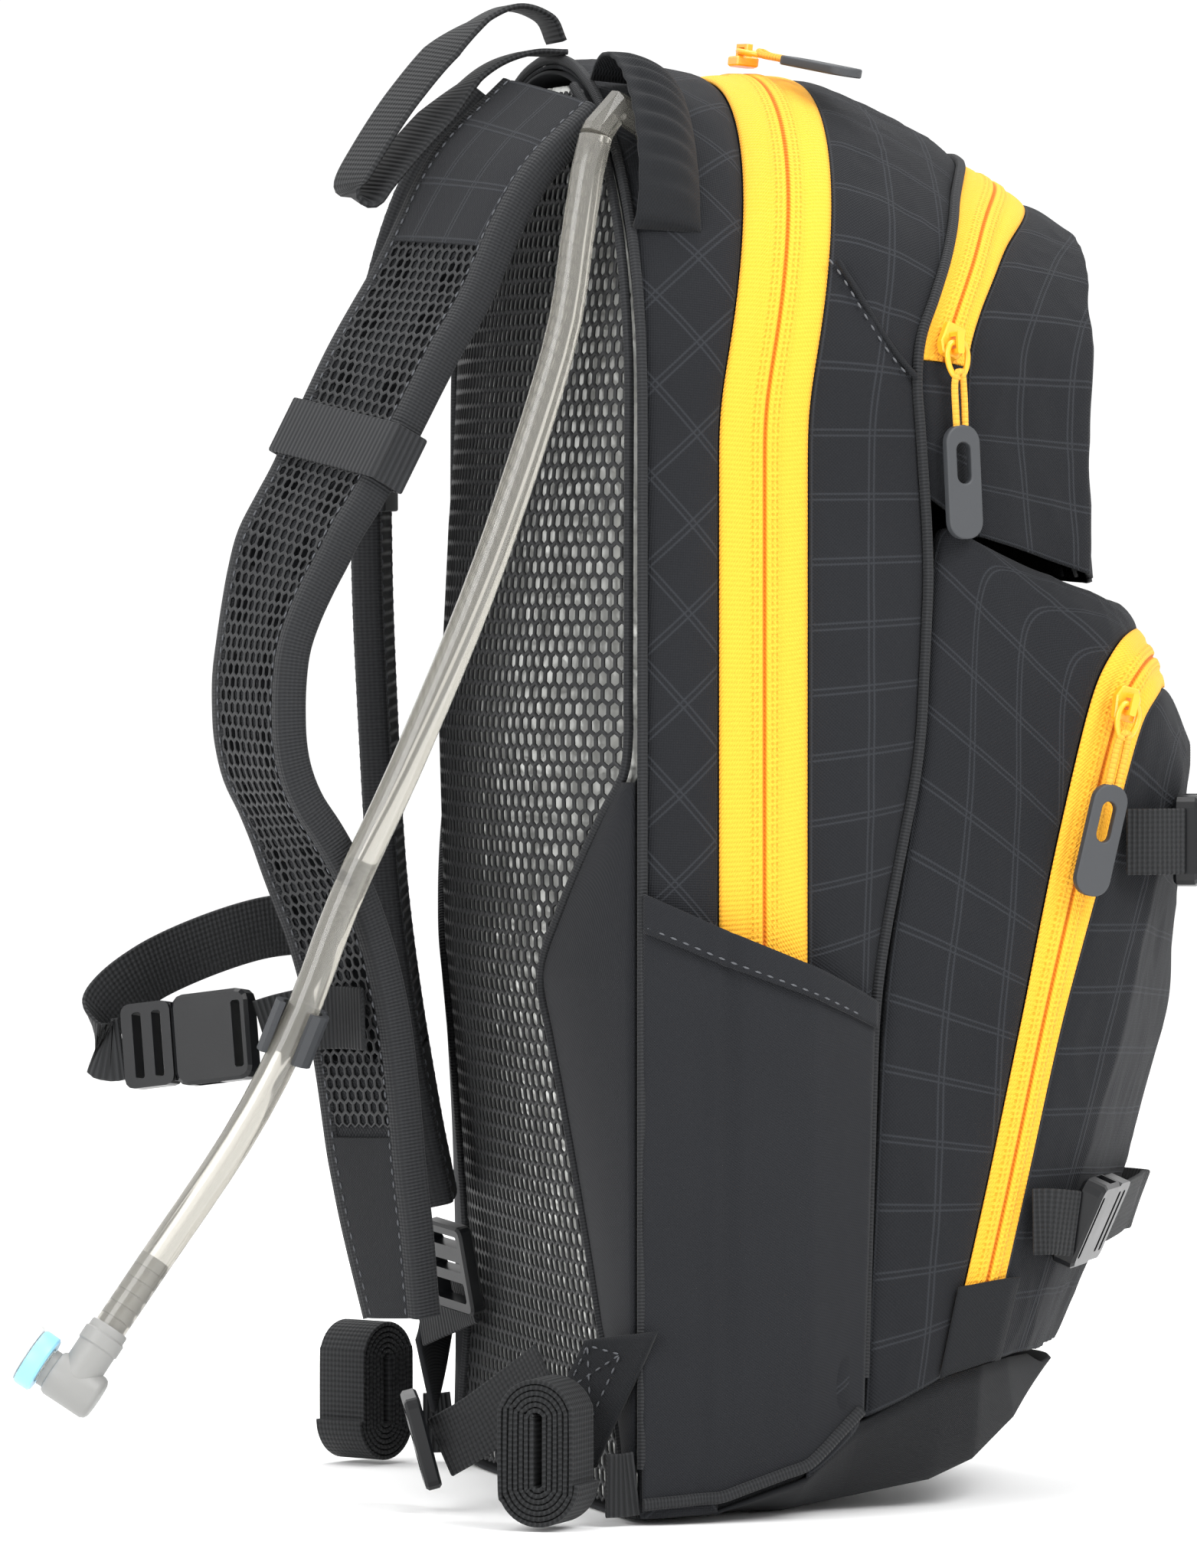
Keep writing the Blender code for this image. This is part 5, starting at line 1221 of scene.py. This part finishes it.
def rubber_tab(name, place, body, replaces):
    curve = bpy.data.curves.new(name, "CURVE")
    curve.dimensions = "2D"
    curve.fill_mode = "BOTH"
    curve.extrude, curve.bevel_depth, curve.bevel_resolution = 0.9 * MM, 0.6 * MM, 3
    for outline in (rounded_outline(34.8, 11.3, 5.0, TAB_CENTRE),
                    rounded_outline(14.2, 6.4, 3.1, TAB_CENTRE - 6)):
        spline = curve.splines.new("POLY")
        spline.points.add(len(outline) - 1)
        spline.use_cyclic_u = True
        for point, (x, y) in zip(spline.points, outline):
            point.co = (x * MM, y * MM, 0, 1)
    holder = bpy.data.objects.new(name, curve)
    scene.collection.objects.link(holder)
    bpy.context.view_layer.update()
    mesh = bpy.data.meshes.new_from_object(holder.evaluated_get(bpy.context.evaluated_depsgraph_get()))
    bpy.data.objects.remove(holder)
    mesh.transform(place)
    mesh.materials.clear()
    return piece(name, mesh, rubber, body, replaces, 50)


def zip_pull(prefix, body, lay, normal):
    """The pull hangs from the hinge that the frame gives, along lay, with its face towards normal."""
    joint = next(j for j in frame["joints"] if j["child"] == body)
    flat = frame_from(Vector(joint["pos_m"]), lay, normal)
    local = lambda x, y, z=0.0: flat @ (Vector((x, y, z)) * MM)
    rubber_tab(prefix + "_tab_rubber", flat, body, (prefix + "_pull",))
    teardrop = [(0, 0), (0.3, 2.4), (3.2, 3.7), (7, 3.4), (10.2, 1.8), (11, 0), (10.2, -1.8), (7, -3.4),
                (3.2, -3.7),
                (0.3, -2.4), (0, 0)]
    across = flat.to_3x3().col[2]
    swept(prefix + "_ring_zinc", [local(*p) for p in teardrop], lambda share: round_section(0.95, 12),
          across, 72,
          yellow_zinc, body, (), metres=True)
    cord = [(30, 1.5), (20, 1.7), (13, 1.6), (9.6, 0.9), (9.3, 0), (9.6, -0.9), (13, -1.6), (20, -1.7),
            (30, -1.5)]
    swept(prefix + "_cord", [local(x, y, 0.9 if x < 12 else 0.2) for x, y in cord],
          lambda share: round_section(1.15, 10), across, 60, cord_fibre, body, (), metres=True)


zip_pull("main_zip", "main_pull", (-0.9, -0.30, -0.14), (0, -0.1, 1))
zip_pull("top_zip", "top_pull", (-0.05, -0.03, -1), (-0.96, -0.28, 0.05))
zip_pull("front_zip", "front_pull", (-0.0062, 0.2323, -0.9726), (-1, -0.24, 0))

# %% [markdown]
# ## Hard parts
# Buckles, adjusters, sliders and the tube clip keep their solid shape. A fine bevel catches the light on
# their edges, as a mould's rounded corners do. Inside, the bladder, its hose and its cap get their own
# finishes.

# %% Hard parts
HARD_PARTS = {
    acetal: ["sternum_buckle_male", "sternum_buckle_female", "upper_buckle_male", "upper_buckle_female",
             "lower_buckle_male", "lower_buckle_female", "ladder_lock_left", "ladder_lock_right"],
    yellow_zinc: ["main_zip_slider", "top_zip_slider", "front_zip_slider"],
    rubber: ["tube_clip", "label_patch"],
    bladder_film: ["reservoir"],
    cap_plastic: ["reservoir_cap"],
    tube_plastic: ["inner_tube"],
    grey_plastic: ["hose_connector"],
    canvas: ["reservoir_sleeve"],
}
for look, names in HARD_PARTS.items():
    for name in names:
        solid = frame["nodes"][name]
        solid.data.materials.clear()
        solid.data.materials.append(look)
        if look in (acetal, yellow_zinc, rubber):
            edge = solid.modifiers.new("moulded_edges", "BEVEL")
            edge.width, edge.segments, edge.limit_method = 0.35 * MM, 2, "ANGLE"
left = sorted(set(frame["nodes"]) - {name for names in HARD_PARTS.values() for name in names})
print(len(left), "solids are stood for by cloth and other pieces:", left)

# %% [markdown]
# ## Studio
# A white floor and three large soft lights. The world is a bright, even white, so shadows stay faint.

# %% Studio
scene.view_settings.view_transform = "Standard"
world = bpy.data.worlds.new("studio_world")
scene.world = world
world.use_nodes = True
world.node_tree.nodes["Background"].inputs["Color"].default_value = (1, 1, 1, 1)
world.node_tree.nodes["Background"].inputs["Strength"].default_value = 1.06
floor_points = np.array([[(x, y, -0.0005) for x in (-40.0, 40.0)] for y in (-40.0, 40.0)])
floor_mesh = grid_mesh("floor", floor_points, np.zeros((2, 2, 2)))
floor = bpy.data.objects.new("floor", floor_mesh)
scene.collection.objects.link(floor)
floor_paint, _, _ = new_material("floor_paint", "#fdfdfd", 0.95)
floor_mesh.materials.append(floor_paint)


def soft_light(name, place, size, power, target=(0, 0, 0.22)):
    data = bpy.data.lights.new(name, "AREA")
    data.shape = "RECTANGLE"
    data.size, data.size_y = size
    data.energy = power
    made = bpy.data.objects.new(name, data)
    made.location = place
    made.rotation_euler = (Vector(target) - Vector(place)).to_track_quat("-Z", "Y").to_euler()
    scene.collection.objects.link(made)


soft_light("key", (-1.6, -0.9, 1.8), (1.2, 1.2), 42)
soft_light("fill", (-1.2, 1.6, 0.9), (1.2, 1.2), 22)
soft_light("top", (0.3, 0.2, 2.2), (1.5, 1.5), 26)

# %% [markdown]
# ## Finish
# The view layer is brought up to date.

# %% Finish
bpy.context.view_layer.update()
